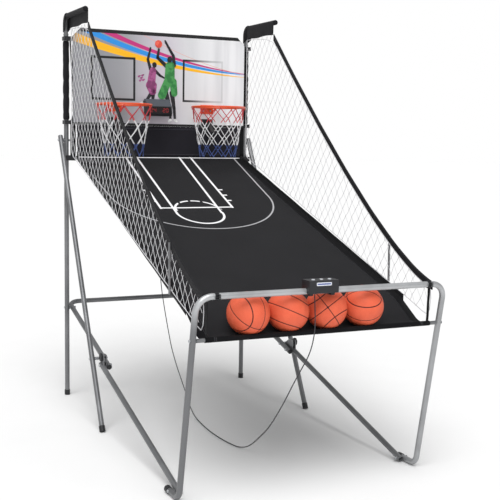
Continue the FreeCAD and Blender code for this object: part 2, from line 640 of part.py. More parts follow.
def score_paddles():
    """Light flap that a falling ball pushes down, turning on the housing's pin."""
    for name, side in (("left", -1), ("right", 1)):
        x = side * RIM_X
        x0 = x - PADDLE_WIDTH / 2
        x1 = x + PADDLE_WIDTH / 2
        way = radians(PADDLE_DROP)
        eye = rod((x0, HINGE_Y, HINGE_Z), (x1, HINGE_Y, HINGE_Z), 9.0)
        blade = Part.makeBox(PADDLE_WIDTH, PADDLE_LENGTH, 3.0, Vector(x0, HINGE_Y - PADDLE_LENGTH, HINGE_Z - 1.5))
        tip = rod((x0, HINGE_Y - PADDLE_LENGTH, HINGE_Z), (x1, HINGE_Y - PADDLE_LENGTH, HINGE_Z), 6.0)
        shape = joined([eye, blade, tip])
        shape = shape.cut(rod((x0 - 1, HINGE_Y, HINGE_Z), (x1 + 1, HINGE_Y, HINGE_Z),
                              HINGE_PIN_OD + 2 * PIN_CLEARANCE))
        shape.rotate(Vector(x, HINGE_Y, HINGE_Z), Vector(1, 0, 0), degrees(way))
        export(name + "_score_paddle", shape)


def scoreboard():
    """Score display: a case with a sloping hood and a dark window, and its cable gland behind."""
    x0 = SCORE_X - SCORE_WIDTH / 2
    back = BOARD_FRONT_Y - SEAT
    front = back - SCORE_DEPTH
    top = SCORE_Z + SCORE_HEIGHT
    profile = [(back, SCORE_Z), (front, SCORE_Z), (front - 6, SCORE_Z + 14), (front, SCORE_Z + 52),
               (back - 18, top), (back, top)]
    profile = [Vector(x0, y, z) for y, z in profile + profile[:1]]
    case = Part.Face(Part.makePolygon(profile)).extrude(Vector(SCORE_WIDTH, 0, 0))
    case = case.makeFillet(4.0, [e for e in case.Edges if abs(e.tangentAt(e.FirstParameter).x) > 0.99][1:5])
    pocket = box(x0 + 8, x0 + SCORE_WIDTH - 8, front - 20, front + 8, SCORE_Z + 15, SCORE_Z + 47)
    window = box(x0 + 8 + SEAT, x0 + SCORE_WIDTH - 8 - SEAT, front + 4, front + 8 - SEAT,
                 SCORE_Z + 15 + SEAT, SCORE_Z + 47 - SEAT)
    export("scoreboard_case", case.cut(pocket))
    export("scoreboard_window", window)
    spigot = rod((GLAND_X, back + SEAT / 3, GLAND_Z), (GLAND_X, CABLE_POINTS[0][1], GLAND_Z), GLAND_OD)
    elbow = Part.makeSphere(GLAND_OD / 2, Vector(GLAND_X, CABLE_POINTS[0][1], GLAND_Z))
    top = Vector(*CABLE_POINTS[0]) + Vector(0, 0, SEAT)
    drop = rod((GLAND_X, CABLE_POINTS[0][1], GLAND_Z), tuple(top), GLAND_OD * 0.7)
    export("scoreboard_gland", joined([spigot, elbow, drop]))


def signal_cable():
    """Cable from the scoreboard down behind the ramp, over the floor and up to the control box."""
    radii = []
    for before, point, after in zip(CABLE_POINTS, CABLE_POINTS[1:], CABLE_POINTS[2:]):
        first = Vector(*point) - Vector(*before)
        second = Vector(*after) - Vector(*point)
        turn = first.getAngle(second)
        radii.append(0.45 * min(first.Length, second.Length) / tan(turn / 2))
    wire = path(CABLE_POINTS, radii)
    way = Vector(*CABLE_POINTS[1]) - Vector(*CABLE_POINTS[0])
    cable = swept(wire, way, CABLE_OD)
    section = pi * CABLE_OD ** 2 / 4
    print("cable radii", [round(r) for r in radii])
    print("cable length %.0f, volume over section times length %.4f"
          % (wire.Length, cable.Volume / (section * wire.Length)))
    export("signal_cable", cable)


def webbing_curve(shift):
    """Edge line of the side net's front webbing, moved down by shift."""
    poles = [Vector(0, y, z - shift) for y, z in WEBBING_POLES]
    curve = Part.BezierCurve()
    curve.setPoles(poles)
    return curve


def net_outline():
    """Side view of the net: under the webbing, along the ramp, up the upright, along the arm."""
    edge = webbing_curve(WEBBING_WIDTH / 2)
    head = edge.getPole(1)
    foot = edge.getPole(3)
    low_front = Vector(0, foot.y, ramp_z(foot.y) + NET_EDGE_RISE)
    low_rear = Vector(0, NET_REAR_Y, ramp_z(NET_REAR_Y) + NET_EDGE_RISE)
    high_rear = Vector(0, NET_REAR_Y, WEBBING_POLES[0][1])
    high_front = Vector(0, head.y, high_rear.z)
    chain = [foot, low_front, low_rear, high_rear, high_front, head]
    lines = [Part.LineSegment(a, b).toShape() for a, b in zip(chain, chain[1:])]
    return Part.Face(Part.Wire([edge.toShape()] + lines))


def webbing_height(y):
    """Height of the webbing's upper edge at one reach from the uprights."""
    (y0, z0), (y1, z1), (y2, z2) = WEBBING_POLES
    a = y0 - 2 * y1 + y2
    b = 2 * (y1 - y0)
    t = (-b - sqrt(b * b - 4 * a * (y0 - y))) / (2 * a)
    return (1 - t) ** 2 * z0 + 2 * t * (1 - t) * z1 + t * t * z2


def webbing_outline():
    upper = webbing_curve(0.0)
    lower = webbing_curve(WEBBING_WIDTH)
    foot = Part.LineSegment(upper.getPole(3), lower.getPole(3)).toShape()
    head = Part.LineSegment(lower.getPole(1), upper.getPole(1)).toShape()
    return Part.Face(Part.Wire([upper.toShape(), foot, lower.toShape(), head]))


def side_nets():
    """Side net and its front webbing, both hanging in an upright plane inside the arms."""
    for name, side in (("left", -1), ("right", 1)):
        net = net_outline().extrude(Vector(side * NET_THICKNESS, 0, 0))
        net.translate(Vector(side * NET_X, 0, 0))
        export(name + "_side_net", net)
        strap = webbing_outline().extrude(Vector(side * WEBBING_THICKNESS, 0, 0))
        strap.translate(Vector(side * (NET_X + NET_THICKNESS + SEAT), 0, 0))
        export(name + "_net_webbing", strap)


def front_frame():
    """U-shaped front frame: feet, legs and top bar in one bent tube."""
    x = FRONT_LEG_X
    rear = FRONT_FOOT_CORNER_Y + FOOT_RUN
    side = [(rear, FOOT_Z), (FRONT_FOOT_CORNER_Y, FOOT_Z), (FRONT_BAR_Y, FRONT_BAR_Z)]
    points = [(-x, y, z) for y, z in side] + [(x, y, z) for y, z in reversed(side)]
    wire = path(points, [FOOT_BEND, FRONT_BEND, FRONT_BEND, FOOT_BEND])
    way = (0, -1, 0)
    shape = swept(wire, way, TUBE_OD).cut(swept(wire, way, TUBE_OD - 2 * TUBE_WALL))
    for end in (-1, 1):
        shape = drilled(shape, [(end * x, ROD_Y, ROD_Z, BOLT_HOLE), (end * x, FOOT_BOLT_Y, FOOT_BOLT_Z, BOLT_HOLE)])
    export("front_u_frame", shape)
    for name, end in (("left", -1), ("right", 1)):
        tx = end * FRONT_TUBE_X
        run = tube([on_lower_line(FOLD_Y + 16.0, tx), on_lower_line(FRONT_TUBE_END_Y, tx)])
        run = drilled(run, [(tx, FOLD_Y, FOLD_Z, BOLT_HOLE), (tx, FOOT_BOLT_Y, FOOT_BOLT_Z, BOLT_HOLE)])
        export(name + "_front_tube", run)
    front_small_parts(rear)


def front_small_parts(foot_end_y):
    caps = []
    bolts = []
    lugs = []
    for side in (-1, 1):
        x = side * FRONT_LEG_X
        caps.append(cap_on((x, foot_end_y, FOOT_Z), (0, -1, 0), TUBE_OD))
        outer = side * (FRONT_LEG_X + TUBE_R + SEAT)
        bolts.append(bolt_x(outer, side * (FRONT_TUBE_X - TUBE_R - SEAT), FOOT_BOLT_Y, FOOT_BOLT_Z))
        rod_bolt = rod((outer, ROD_Y, ROD_Z), (side * (FRONT_LEG_X - TUBE_R - 40), ROD_Y, ROD_Z), BOLT_OD)
        rod_head = rod((outer, ROD_Y, ROD_Z), (outer + side * 5, ROD_Y, ROD_Z), 14.0)
        bolts.append(joined([rod_bolt, rod_head]))
        lug_x = side * FRONT_TUBE_X
        lug = box(lug_x - LUG_T / 2, lug_x + LUG_T / 2, FOLD_Y - 30, FOLD_Y + 14, FOLD_Z, FOLD_Z + KNOB_RISE + 13)
        lug = lug.cut(rod(on_lower_line(FOLD_Y - 60, lug_x), on_lower_line(FOLD_Y + 40, lug_x), TUBE_OD))
        lug = drilled(lug, [(lug_x, FOLD_Y - KNOB_AHEAD, FOLD_Z + KNOB_RISE, STUD_OD + 2 * PIN_CLEARANCE)])
        lugs.append(max(lug.Solids, key=lambda solid: solid.Volume))
    export("front_foot_caps", caps)
    export("front_bolts", bolts)
    export("lock_lugs", lugs)


def lock_knobs():
    """Round knob whose stud passes the lug and bears on the fold plate."""
    y = FOLD_Y - KNOB_AHEAD
    z = FOLD_Z + KNOB_RISE
    plate_face = ARM_X + TUBE_R + PLATE_GAP + PLATE_T
    for name, side in (("left", -1), ("right", 1)):
        lug_face = FRONT_TUBE_X + LUG_T / 2 + SEAT
        head = rod((side * lug_face, y, z), (side * (lug_face + KNOB_T), y, z), KNOB_OD)
        for index in range(8):
            turn = radians(45 * index)
            cy = y + (KNOB_OD / 2 + 3) * cos(turn)
            cz = z + (KNOB_OD / 2 + 3) * sin(turn)
            head = head.cut(rod((side * (lug_face - 1), cy, cz), (side * (lug_face + KNOB_T + 1), cy, cz), 12.0))
        stud = rod((side * (plate_face + SEAT), y, z), (side * lug_face, y, z), STUD_OD)
        export(name + "_lock_knob", joined([head, stud]))


def control_box():
    """Control box that saddles the front bar: base, lid, circuit board, buttons and clips."""
    x0 = CASE_X - CASE_WIDTH / 2
    x1 = CASE_X + CASE_WIDTH / 2
    y0 = FRONT_BAR_Y - CASE_AHEAD
    y1 = y0 + CASE_DEPTH
    lid_z = CASE_TOP_Z - CASE_WALL
    groove_r = TUBE_R + SEAT
    base = box(x0, x1, y0, y1, CASE_BOTTOM_Z, lid_z)
    groove = rod((x0 - 1, FRONT_BAR_Y, FRONT_BAR_Z), (x1 + 1, FRONT_BAR_Y, FRONT_BAR_Z), 2 * groove_r)
    mouth = box(x0 - 1, x1 + 1, FRONT_BAR_Y - groove_r, FRONT_BAR_Y + groove_r, CASE_BOTTOM_Z - 1, FRONT_BAR_Z)
    floor_z = FRONT_BAR_Z + groove_r + CASE_WALL
    cavity = box(x0 + CASE_WALL, x1 - CASE_WALL, y0 + CASE_WALL, y1 - CASE_WALL, floor_z, lid_z + 1)
    export("control_box_base", base.cut(groove).cut(mouth).cut(cavity))
    lid = box(x0, x1, y0, y1, lid_z, CASE_TOP_Z)
    board = box(x0 + CASE_WALL + 1, x1 - CASE_WALL - 1, y0 + CASE_WALL + 1, y1 - CASE_WALL - 1,
                floor_z, floor_z + 1.6)
    boards = [board]
    button_y = y0 + CASE_DEPTH * 0.4
    for name, dx in (("power", -36.0), ("mode", 0.0), ("start", 36.0)):
        x = CASE_X + dx
        lid = lid.cut(rod((x, button_y, lid_z - 1), (x, button_y, CASE_TOP_Z + 1), BUTTON_OD + 2 * SEAT))
        switch_top = floor_z + 1.6 + 6.0
        boards.append(box(x - 4, x + 4, button_y - 4, button_y + 4, floor_z + 1.6, switch_top))
        low = switch_top + BUTTON_TRAVEL + SEAT
        cap = rod((x, button_y, low), (x, button_y, CASE_TOP_Z + BUTTON_PROUD), BUTTON_OD)
        flange = rod((x, button_y, low), (x, button_y, lid_z - SEAT), BUTTON_OD + 4)
        export(name + "_button", joined([cap, flange]))
    export("control_box_lid", lid)
    export("control_board", joined(boards))
    cable_x, cable_y, cable_z = CABLE_POINTS[-1]
    gland = rod((cable_x, cable_y, CASE_BOTTOM_Z), (cable_x, cable_y, cable_z + 2 * SEAT), 2 * CABLE_OD)
    clips = [gland]
    for dx in (-48.0, 48.0):
        cx = CASE_X + dx
        low = FRONT_BAR_Z - TUBE_R - SEAT
        plate = box(cx - 9, cx + 9, FRONT_BAR_Y - groove_r - 5, FRONT_BAR_Y + groove_r + 5, low - 4, low)
        ear_a = box(cx - 9, cx + 9, FRONT_BAR_Y - groove_r - 5, FRONT_BAR_Y - groove_r, low - 4, CASE_BOTTOM_Z)
        ear_b = box(cx - 9, cx + 9, FRONT_BAR_Y + groove_r, FRONT_BAR_Y + groove_r + 5, low - 4, CASE_BOTTOM_Z)
        clips.append(joined([plate, ear_a, ear_b]))
    export("control_box_clips", clips)


def bar_straps():
    """Buckled strap round each end of the front bar that holds the foot of the webbing."""
    straps = []
    for side in (-1, 1):
        x = side * STRAP_X
        ring = rod((x - STRAP_HALF, FRONT_BAR_Y, FRONT_BAR_Z), (x + STRAP_HALF, FRONT_BAR_Y, FRONT_BAR_Z),
                   TUBE_OD + 7)
        tab = box(x - side * STRAP_HALF, side * (NET_X - SEAT), FRONT_BAR_Y + TUBE_R + 2,
                  FRONT_BAR_Y + TUBE_R + 16, FRONT_BAR_Z - 6, FRONT_BAR_Z + 4)
        bore = rod((x - 60, FRONT_BAR_Y, FRONT_BAR_Z), (x + 60, FRONT_BAR_Y, FRONT_BAR_Z), TUBE_OD + 2 * SEAT)
        straps.append(joined([ring, tab]).cut(bore))
    export("bar_straps", straps)


def stay_posts():
    """Short posts that hold the webbing up from the ramp's edge near the front."""
    posts = []
    x = NET_X + NET_THICKNESS + SEAT + WEBBING_THICKNESS + SEAT + STAY_OD / 2
    top = webbing_height(STAY_Y) - STAY_END
    for side in (-1, 1):
        posts.append(rod((side * x, STAY_Y, ramp_z(STAY_Y)), (side * x, STAY_Y + 4.0, top), STAY_OD))
    export("stay_posts", posts)


def balls():
    for index in range(4):
        x = BALL_ROW_X + (index - 1.5) * BALL_SPACING
        export("ball_%d" % (index + 1), Part.makeSphere(BALL_R, Vector(x, BALL_Y, BALL_Z)))


BUILDERS = (uprights, inclined_legs, lower_rear_tube, rear_foot_caps, rear_bolts, fold_plates, fold_pins,
            lower_arm_plugs, top_arms, arm_sleeves, upright_sleeves, board_frame, banner, frame_clamps,
            ramp_rear_bar, rear_panel, ramp_cloth, ramp_front_rod, rims, rim_bolts, hoop_nets,
            sensor_boxes, score_paddles, scoreboard, signal_cable, side_nets, front_frame, lock_knobs,
            control_box, bar_straps, stay_posts, balls)

if __name__ == "__main__":
    os.makedirs("parts", exist_ok=True)
    for build in BUILDERS:
        build()
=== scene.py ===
"""Folding two-player basketball game: the looks of each piece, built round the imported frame."""
import bmesh
import bpy
from math import acos, atan2, cos, hypot, pi, radians, sin, sqrt
from mathutils import Matrix, Vector


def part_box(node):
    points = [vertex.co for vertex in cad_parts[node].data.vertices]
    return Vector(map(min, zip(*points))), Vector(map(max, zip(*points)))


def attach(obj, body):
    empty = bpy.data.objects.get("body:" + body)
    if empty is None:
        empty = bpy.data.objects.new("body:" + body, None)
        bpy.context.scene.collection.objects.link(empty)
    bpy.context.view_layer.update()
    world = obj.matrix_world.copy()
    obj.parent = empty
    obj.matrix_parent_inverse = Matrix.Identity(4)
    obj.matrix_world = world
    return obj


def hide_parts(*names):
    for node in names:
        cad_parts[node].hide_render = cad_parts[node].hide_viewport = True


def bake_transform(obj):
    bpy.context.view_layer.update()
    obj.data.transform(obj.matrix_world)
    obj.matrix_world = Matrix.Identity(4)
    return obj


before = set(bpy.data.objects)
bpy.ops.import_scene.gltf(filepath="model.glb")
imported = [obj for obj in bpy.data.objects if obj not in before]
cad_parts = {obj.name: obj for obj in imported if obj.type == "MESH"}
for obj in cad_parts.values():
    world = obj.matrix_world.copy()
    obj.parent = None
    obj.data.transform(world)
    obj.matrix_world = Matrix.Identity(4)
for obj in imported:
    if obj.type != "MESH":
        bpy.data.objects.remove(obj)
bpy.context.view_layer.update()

# ---- Camera, studio light and floor -------------------------------------------------
# The game stands on a pale matt floor in a plain white studio, seen from the player's
# left and a little above the bar. A broad overhead light and a soft box in front light it.
EYE = Vector((-1.9137, -4.3007, 1.4101))
LOOK_TURN, LOOK_FALL, LOOK_TILT = radians(25.409), radians(-6.358), radians(0.943)


def paint(code):
    """Linear colour of a paint, from its six-figure mixing code."""
    parts = [int(code[i:i + 2], 16) / 255 for i in (0, 2, 4)]
    return tuple(p / 12.92 if p <= 0.04045 else ((p + 0.055) / 1.055) ** 2.4 for p in parts) + (1.0,)


ahead = Vector((sin(LOOK_TURN) * cos(LOOK_FALL), cos(LOOK_TURN) * cos(LOOK_FALL), sin(LOOK_FALL)))
level = Vector((cos(LOOK_TURN), -sin(LOOK_TURN), 0.0))
above = level.cross(ahead)
right_hand = level * cos(LOOK_TILT) + above * sin(LOOK_TILT)
upright_hand = above * cos(LOOK_TILT) - level * sin(LOOK_TILT)
camera = bpy.data.objects.new("camera", bpy.data.cameras.new("camera"))
camera.data.lens = 71.15
camera.data.sensor_width = 36.0
view_axes = Matrix((right_hand, upright_hand, -ahead)).transposed()
camera.matrix_world = Matrix.Translation(EYE) @ view_axes.to_4x4()
bpy.context.scene.collection.objects.link(camera)
bpy.context.scene.camera = camera


def lamp(name, kind, place, target, strength, **settings):
    """A lamp at a place, turned to shine at its target."""
    data = bpy.data.lights.new(name, kind)
    data.energy = strength
    for key, value in settings.items():
        setattr(data, key, value)
    lit = bpy.data.objects.new(name, data)
    way = Vector(target) - Vector(place)
    lit.matrix_world = Matrix.Translation(place) @ way.to_track_quat("-Z", "Y").to_matrix().to_4x4()
    bpy.context.scene.collection.objects.link(lit)


lamp("overhead_light", "SUN", (-1.3, -2.2, 4.6), (0.0, 0.0, 0.0), 2.5, angle=radians(50))
lamp("front_box", "AREA", (-1.6, -4.2, 2.4), (0.0, 0.6, 1.5), 22.0, shape="RECTANGLE", size=2.4, size_y=1.8)

# The room is white to the eye, and lights the game a little less than it shows.
world = bpy.data.worlds.new("studio")
bpy.context.scene.world = world
world.use_nodes = True
room = world.node_tree.nodes["Background"]
room.inputs["Color"].default_value = (1.0, 1.0, 1.0, 1.0)
room.inputs["Strength"].default_value = 0.50
seen = world.node_tree.nodes.new("ShaderNodeBackground")
seen.inputs["Color"].default_value = (1.0, 1.0, 1.0, 1.0)
path = world.node_tree.nodes.new("ShaderNodeLightPath")
either = world.node_tree.nodes.new("ShaderNodeMixShader")
world.node_tree.links.new(path.outputs["Is Camera Ray"], either.inputs[0])
world.node_tree.links.new(room.outputs[0], either.inputs[1])
world.node_tree.links.new(seen.outputs[0], either.inputs[2])
world.node_tree.links.new(either.outputs[0], world.node_tree.nodes["World Output"].inputs["Surface"])

bpy.context.scene.view_settings.view_transform = "Standard"


class Signal:
    """One socket of a shader tree, on which sums are written as plain arithmetic."""

    def __init__(self, tree, socket):
        self.tree, self.socket = tree, socket

    def maths(self, operation, *terms):
        node = self.tree.nodes.new("ShaderNodeMath")
        node.operation = operation
        for place, term in zip(node.inputs, terms):
            if isinstance(term, Signal):
                self.tree.links.new(term.socket, place)
            else:
                place.default_value = term
        return Signal(self.tree, node.outputs[0])

    def __add__(self, other): return self.maths("ADD", self, other)
    def __radd__(self, other): return self.maths("ADD", other, self)
    def __sub__(self, other): return self.maths("SUBTRACT", self, other)
    def __rsub__(self, other): return self.maths("SUBTRACT", other, self)
    def __mul__(self, other): return self.maths("MULTIPLY", self, other)
    def __rmul__(self, other): return self.maths("MULTIPLY", other, self)
    def __truediv__(self, other): return self.maths("DIVIDE", self, other)
    def __mod__(self, other): return self.maths("FLOORED_MODULO", self, other)
    def __abs__(self): return self.maths("ABSOLUTE", self)
    def __pow__(self, other): return self.maths("POWER", self, other)
    def __gt__(self, other): return self.maths("GREATER_THAN", self, other)
    def __lt__(self, other): return self.maths("LESS_THAN", self, other)
    def wave(self): return self.maths("SINE", self)
    def root(self): return self.maths("SQRT", self)
    def lesser(self, other): return self.maths("MINIMUM", self, other)
    def greater(self, other): return self.maths("MAXIMUM", self, other)


class Finish:
    """One surface finish: its shader, with any socket set to a constant or fed by a signal."""

    def __init__(self, name, colour=None, sockets=()):
        self.material = bpy.data.materials.new(name)
        self.material.use_nodes = True
        self.tree = self.material.node_tree
        self.shader = self.tree.nodes["Principled BSDF"]
        if colour:
            self.shader.inputs["Base Color"].default_value = paint(colour)
            self.material.diffuse_color = paint(colour)
        for socket, value in dict(sockets).items():
            self.shader.inputs[socket].default_value = value

    def node(self, kind, settings=(), sockets=(), out=0):
        made = self.tree.nodes.new("ShaderNode" + kind)
        for name, value in dict(settings).items():
            setattr(made, name, value)
        for place, value in dict(sockets).items():
            if isinstance(value, Signal):
                self.tree.links.new(value.socket, made.inputs[place])
            else:
                made.inputs[place].default_value = value
        return Signal(self.tree, made.outputs[out])

    def place(self):
        """Object coordinates: the vector itself, then x, y and z."""
        spot = self.node("TexCoord", out="Object")
        return (spot, *self.axes(spot))

    def cut(self):
        """The sheet's own flat coordinates in metres: the vector, then across and along."""
        spot = self.node("UVMap", {"uv_map": "cut"})
        return (spot, *self.axes(spot)[:2])

    def axes(self, spot):
        split = self.node("SeparateXYZ", (), {"Vector": spot})
        return [Signal(self.tree, output) for output in split.socket.node.outputs]

    def noise(self, spot, scale, detail=3.0, rough=0.5):
        return self.node("TexNoise", (),
                         {"Vector": spot, "Scale": scale, "Detail": detail, "Roughness": rough})

    def mix(self, share, first, second):
        colours = [c if isinstance(c, Signal) else paint(c) for c in (first, second)]
        return self.node("Mix", {"data_type": "RGBA"}, {0: share, 6: colours[0], 7: colours[1]}, 2)

    def fade(self, value, low, high):
        """0 below low and 1 above high, with a smooth turn between them."""
        return self.node("MapRange", {"interpolation_type": "SMOOTHSTEP"},
                         {"Value": value, "From Min": low, "From Max": high})

    def feed(self, socket, signal):
        self.tree.links.new(signal.socket, self.shader.inputs[socket])

    def raised(self, height, distance, strength=1.0):
        """Small relief of the surface, of that height in metres where the signal is 1."""
        self.feed("Normal",
                  self.node("Bump", (), {"Height": height, "Distance": distance, "Strength": strength}))


def piece(name, mesh, finish, body, stands_for=(), crease=40.0):
    """Turns a bmesh into a finished object, smooth but for creases, on its body of the frame."""
    data = bpy.data.meshes.new(name)
    mesh.to_mesh(data)
    mesh.free()
    for face in data.polygons:
        face.use_smooth = True
    data.set_sharp_from_angle(angle=radians(crease))
    for each in finish if isinstance(finish, (list, tuple)) else [finish]:
        data.materials.append(each.material)
    made = bpy.data.objects.new(name, data)
    bpy.context.scene.collection.objects.link(made)
    if body:
        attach(made, body)
    if stands_for:
        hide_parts(*stands_for)
    return made


studio_floor = Finish("studio_floor", None, {"Roughness": 0.75, "Specular IOR Level": 0.2})
spot, x, y, z = studio_floor.place()
studio_floor.feed("Base Color", studio_floor.mix(studio_floor.noise(spot, 3.0), "eeeeee", "f2f2f2"))
floor_mesh = bmesh.new()
bmesh.ops.create_grid(floor_mesh, x_segments=2, y_segments=2, size=60.0)
bmesh.ops.translate(floor_mesh, verts=floor_mesh.verts, vec=(0.0, 0.0, -0.0006))
floor = piece("studio_floor", floor_mesh, studio_floor, None)

# ---- Signal cable -------------------------------------------------------------------
# One 5 mm round cable in black PVC joins the scoreboard to the control box. It hangs
# behind the ramp, lies along the floor and climbs below the tray to the box's gland.
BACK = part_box("left_upright")[0].y + 0.0125         # plane of the rear uprights
CABLE_ROUTE = [
    (5, 6, 1530), (5, 7, 1464), (6, 9, 1398), (7, 12, 1332), (7, 14, 1266),
    (8, 15, 1200), (7, 16, 1134), (7, 16, 1068), (7, 15, 1002), (6, 12, 936),
    (5, 7, 870), (4, -1, 804), (2, -11, 739), (1, -25, 674), (1, -43, 610),
    (0, -66, 549), (-1, -97, 491), (-4, -134, 436), (-7, -173, 382), (-10, -213, 329),
    (-14, -255, 279), (-17, -304, 234), (-21, -356, 194), (-25, -412, 158), (-29, -467, 123),
    (-34, -524, 88), (-40, -580, 53), (-46, -638, 23), (-52, -702, 7), (-59, -768, 3),
    (-66, -834, 3), (-72, -899, 3), (-75, -965, 3), (-75, -1031, 3), (-72, -1097, 3),
    (-64, -1163, 3), (-52, -1228, 3), (-42, -1291, 21), (-39, -1349, 53), (-41, -1403, 90),
    (-43, -1457, 128), (-44, -1510, 168), (-45, -1558, 213), (-45, -1604, 261), (-45, -1648, 310),
    (-45, -1691, 361), (-45, -1732, 412), (-45, -1775, 463), (-45, -1819, 512), (-45, -1862, 562),
    (-46, -1895, 619), (-46, -1911, 683), (-46, -1907, 749), (-46, -1900, 815),
]
CABLE_WIDTH = 0.005


def smooth_line(name, points, width=0.0, closed=False):
    """Mesh of a smooth line through its control points: a bare line, or a round cord of that width."""
    shape = bpy.data.curves.new(name, "CURVE")
    shape.dimensions = "3D"
    shape.resolution_u = 4
    shape.bevel_depth = width / 2
    shape.bevel_resolution = 1
    shape.use_fill_caps = not closed
    line = shape.splines.new("NURBS")
    line.points.add(len(points) - 1)
    for point, place in zip(line.points, points):
        point.co = (*place, 1.0)
    line.order_u = 3
    line.use_endpoint_u = not closed
    line.use_cyclic_u = closed
    holder = bpy.data.objects.new(name, shape)
    mesh = bpy.data.meshes.new_from_object(holder)
    bpy.data.objects.remove(holder)
    bpy.data.curves.remove(shape)
    return mesh


route = [(px / 1000, py / 1000 + BACK, pz / 1000) for px, py, pz in CABLE_ROUTE]
cable_line = [v.co.copy() for v in smooth_line("cable_line", route).vertices]
cable_jacket = Finish("cable_jacket", None, {"Specular IOR Level": 0.4})
spot, x, y, z = cable_jacket.place()
grain = cable_jacket.noise(spot, 900.0, 2.0)
cable_jacket.feed("Base Color", cable_jacket.mix(cable_jacket.noise(spot, 6.0), "2b2c30", "3a3b40"))
cable_jacket.feed("Roughness", 0.38 + grain * 0.15)
cable_jacket.raised(grain, 0.00008)
cable_mesh = bmesh.new()
cable_mesh.from_mesh(smooth_line("cable_round", route, CABLE_WIDTH))
cable = piece("signal_cable_jacket", cable_mesh, cable_jacket, None, ["signal_cable"])
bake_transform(cable)

# ---- Tube frame ---------------------------------------------------------------------
# Round steel tube, 25 mm across, bent cold and powder coated in silver grey. The front
# frame wears a lighter, fresher coat than the rear one, with painted shade on it: its colour
# is darker below the top bar, most of all on the left, and the top bar keeps a painted highlight.
def coat(finish, *nodes):
    """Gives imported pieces, whose shape is already right, their finish."""
    for node in nodes:
        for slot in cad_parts[node].material_slots:
            slot.material = finish.material


def powder_coat(name, dull, bright, roughness, ink_wear_and_painted_coat_shade=None):
    finish = Finish(name, dull, {"Metallic": 0.55, "Specular IOR Level": 0.45})
    spot, x, y, z = finish.place()
    cloud = finish.noise(spot, 7.0, 4.0)
    rubbed = finish.fade(finish.noise(spot, 55.0, 5.0, 0.7), 0.66, 0.74)
    peel = finish.noise(spot, 520.0, 2.0)
    tone = finish.mix(finish.fade(cloud, 0.3, 0.7), dull, bright)
    # Painted shade: below the top bar the coat is mixed towards the dark colour, fully on the left and partly
    # on the right, so the top bar stays light as a painted highlight.
    if ink_wear_and_painted_coat_shade:
        painted_light_share = finish.fade(z, 0.68, 0.82).greater(finish.fade(x, -0.5, 0.5) * 0.6)
        tone = finish.mix(painted_light_share, ink_wear_and_painted_coat_shade, tone)
    finish.feed("Base Color", finish.mix(rubbed * 0.35, tone, "5a5b5d"))
    finish.feed("Roughness", roughness + cloud * 0.12 + rubbed * 0.15)
    finish.raised(peel - rubbed * 0.6, 0.00012)
    return finish


rear_coat = powder_coat("silver_grey_coat", "707173", "868789", 0.34)
# The last colour, 727375, is the painted shade on the front frame's lower and left parts.
front_coat = powder_coat("light_silver_coat", "a3a4a6", "bcbec0", 0.28, "727375")
coat(rear_coat, "left_upright", "right_upright", "left_inclined_leg", "right_inclined_leg", "lower_rear_tube",
     "left_top_arm", "right_top_arm", "board_frame", "ramp_rear_bar", "fold_plates", "lock_lugs",
     "left_front_tube", "right_front_tube", "ramp_front_rod")
coat(front_coat, "front_u_frame")

# ---- Ramp cloth ---------------------------------------------------------------------
# One sheet of coated polyester, folded over the rear bar and sewn round the front rod.
# It sags a little between its hems, dips into a trough for the balls, and carries the
# screen printed lines of a court. Black hems are turned over and stitched twice.
CLOTH_WALL = 0.0016
RAMP_SAG = 0.007
RAMP_WIDTH = (0.479, 0.506)                          # half widths, behind and in front


def middle_of(node):
    low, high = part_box(node)
    return (low + high) / 2


def seen_arc(centre, radius, start, end, steps):
    """Points of an arc in a side view, between two angles in degrees."""
    turns = [radians(start + (end - start) * i / steps) for i in range(steps + 1)]
    return [(centre[0] + radius * cos(t), centre[1] + radius * sin(t)) for t in turns]


rear_bar, front_rod, first_ball = middle_of("ramp_rear_bar"), middle_of("ramp_front_rod"), middle_of("ball_1")
over_bar = (rear_bar.y, rear_bar.z)
in_tray = (first_ball.y, first_ball.z)
RAMP_TILT = atan2(0.3416, 1.0)
tray_radius = (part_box("ball_1")[1].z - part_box("ball_1")[0].z) / 2 + 0.0003
bar_wrap = 0.0118
crest = seen_arc(over_bar, bar_wrap, -40.0, 90.0 + RAMP_TILT * 180 / pi, 9)
knee = (BACK - 1.680, 1.311 + 0.3416 * (-1.680 + 0.0262))
dip_start = atan2(knee[1] - in_tray[1], knee[0] - in_tray[0]) \
    - acos(tray_radius / hypot(knee[0] - in_tray[0], knee[1] - in_tray[1]))
tray = seen_arc(in_tray, tray_radius, dip_start * 180 / pi, -121.0, 12)
fold_over = seen_arc((front_rod.y, front_rod.z), 0.0103, 59.0, 300.0, 14)
slope = [(crest[-1][0] + (knee[0] - crest[-1][0]) * i / 44, crest[-1][1] + (knee[1] - crest[-1][1]) * i / 44)
         for i in range(1, 45)]
drop = [(knee[0] + (tray[0][0] - knee[0]) * i / 5, knee[1] + (tray[0][1] - knee[1]) * i / 5)
        for i in range(1, 5)]
side_view = crest + slope + drop + tray + fold_over[1:]

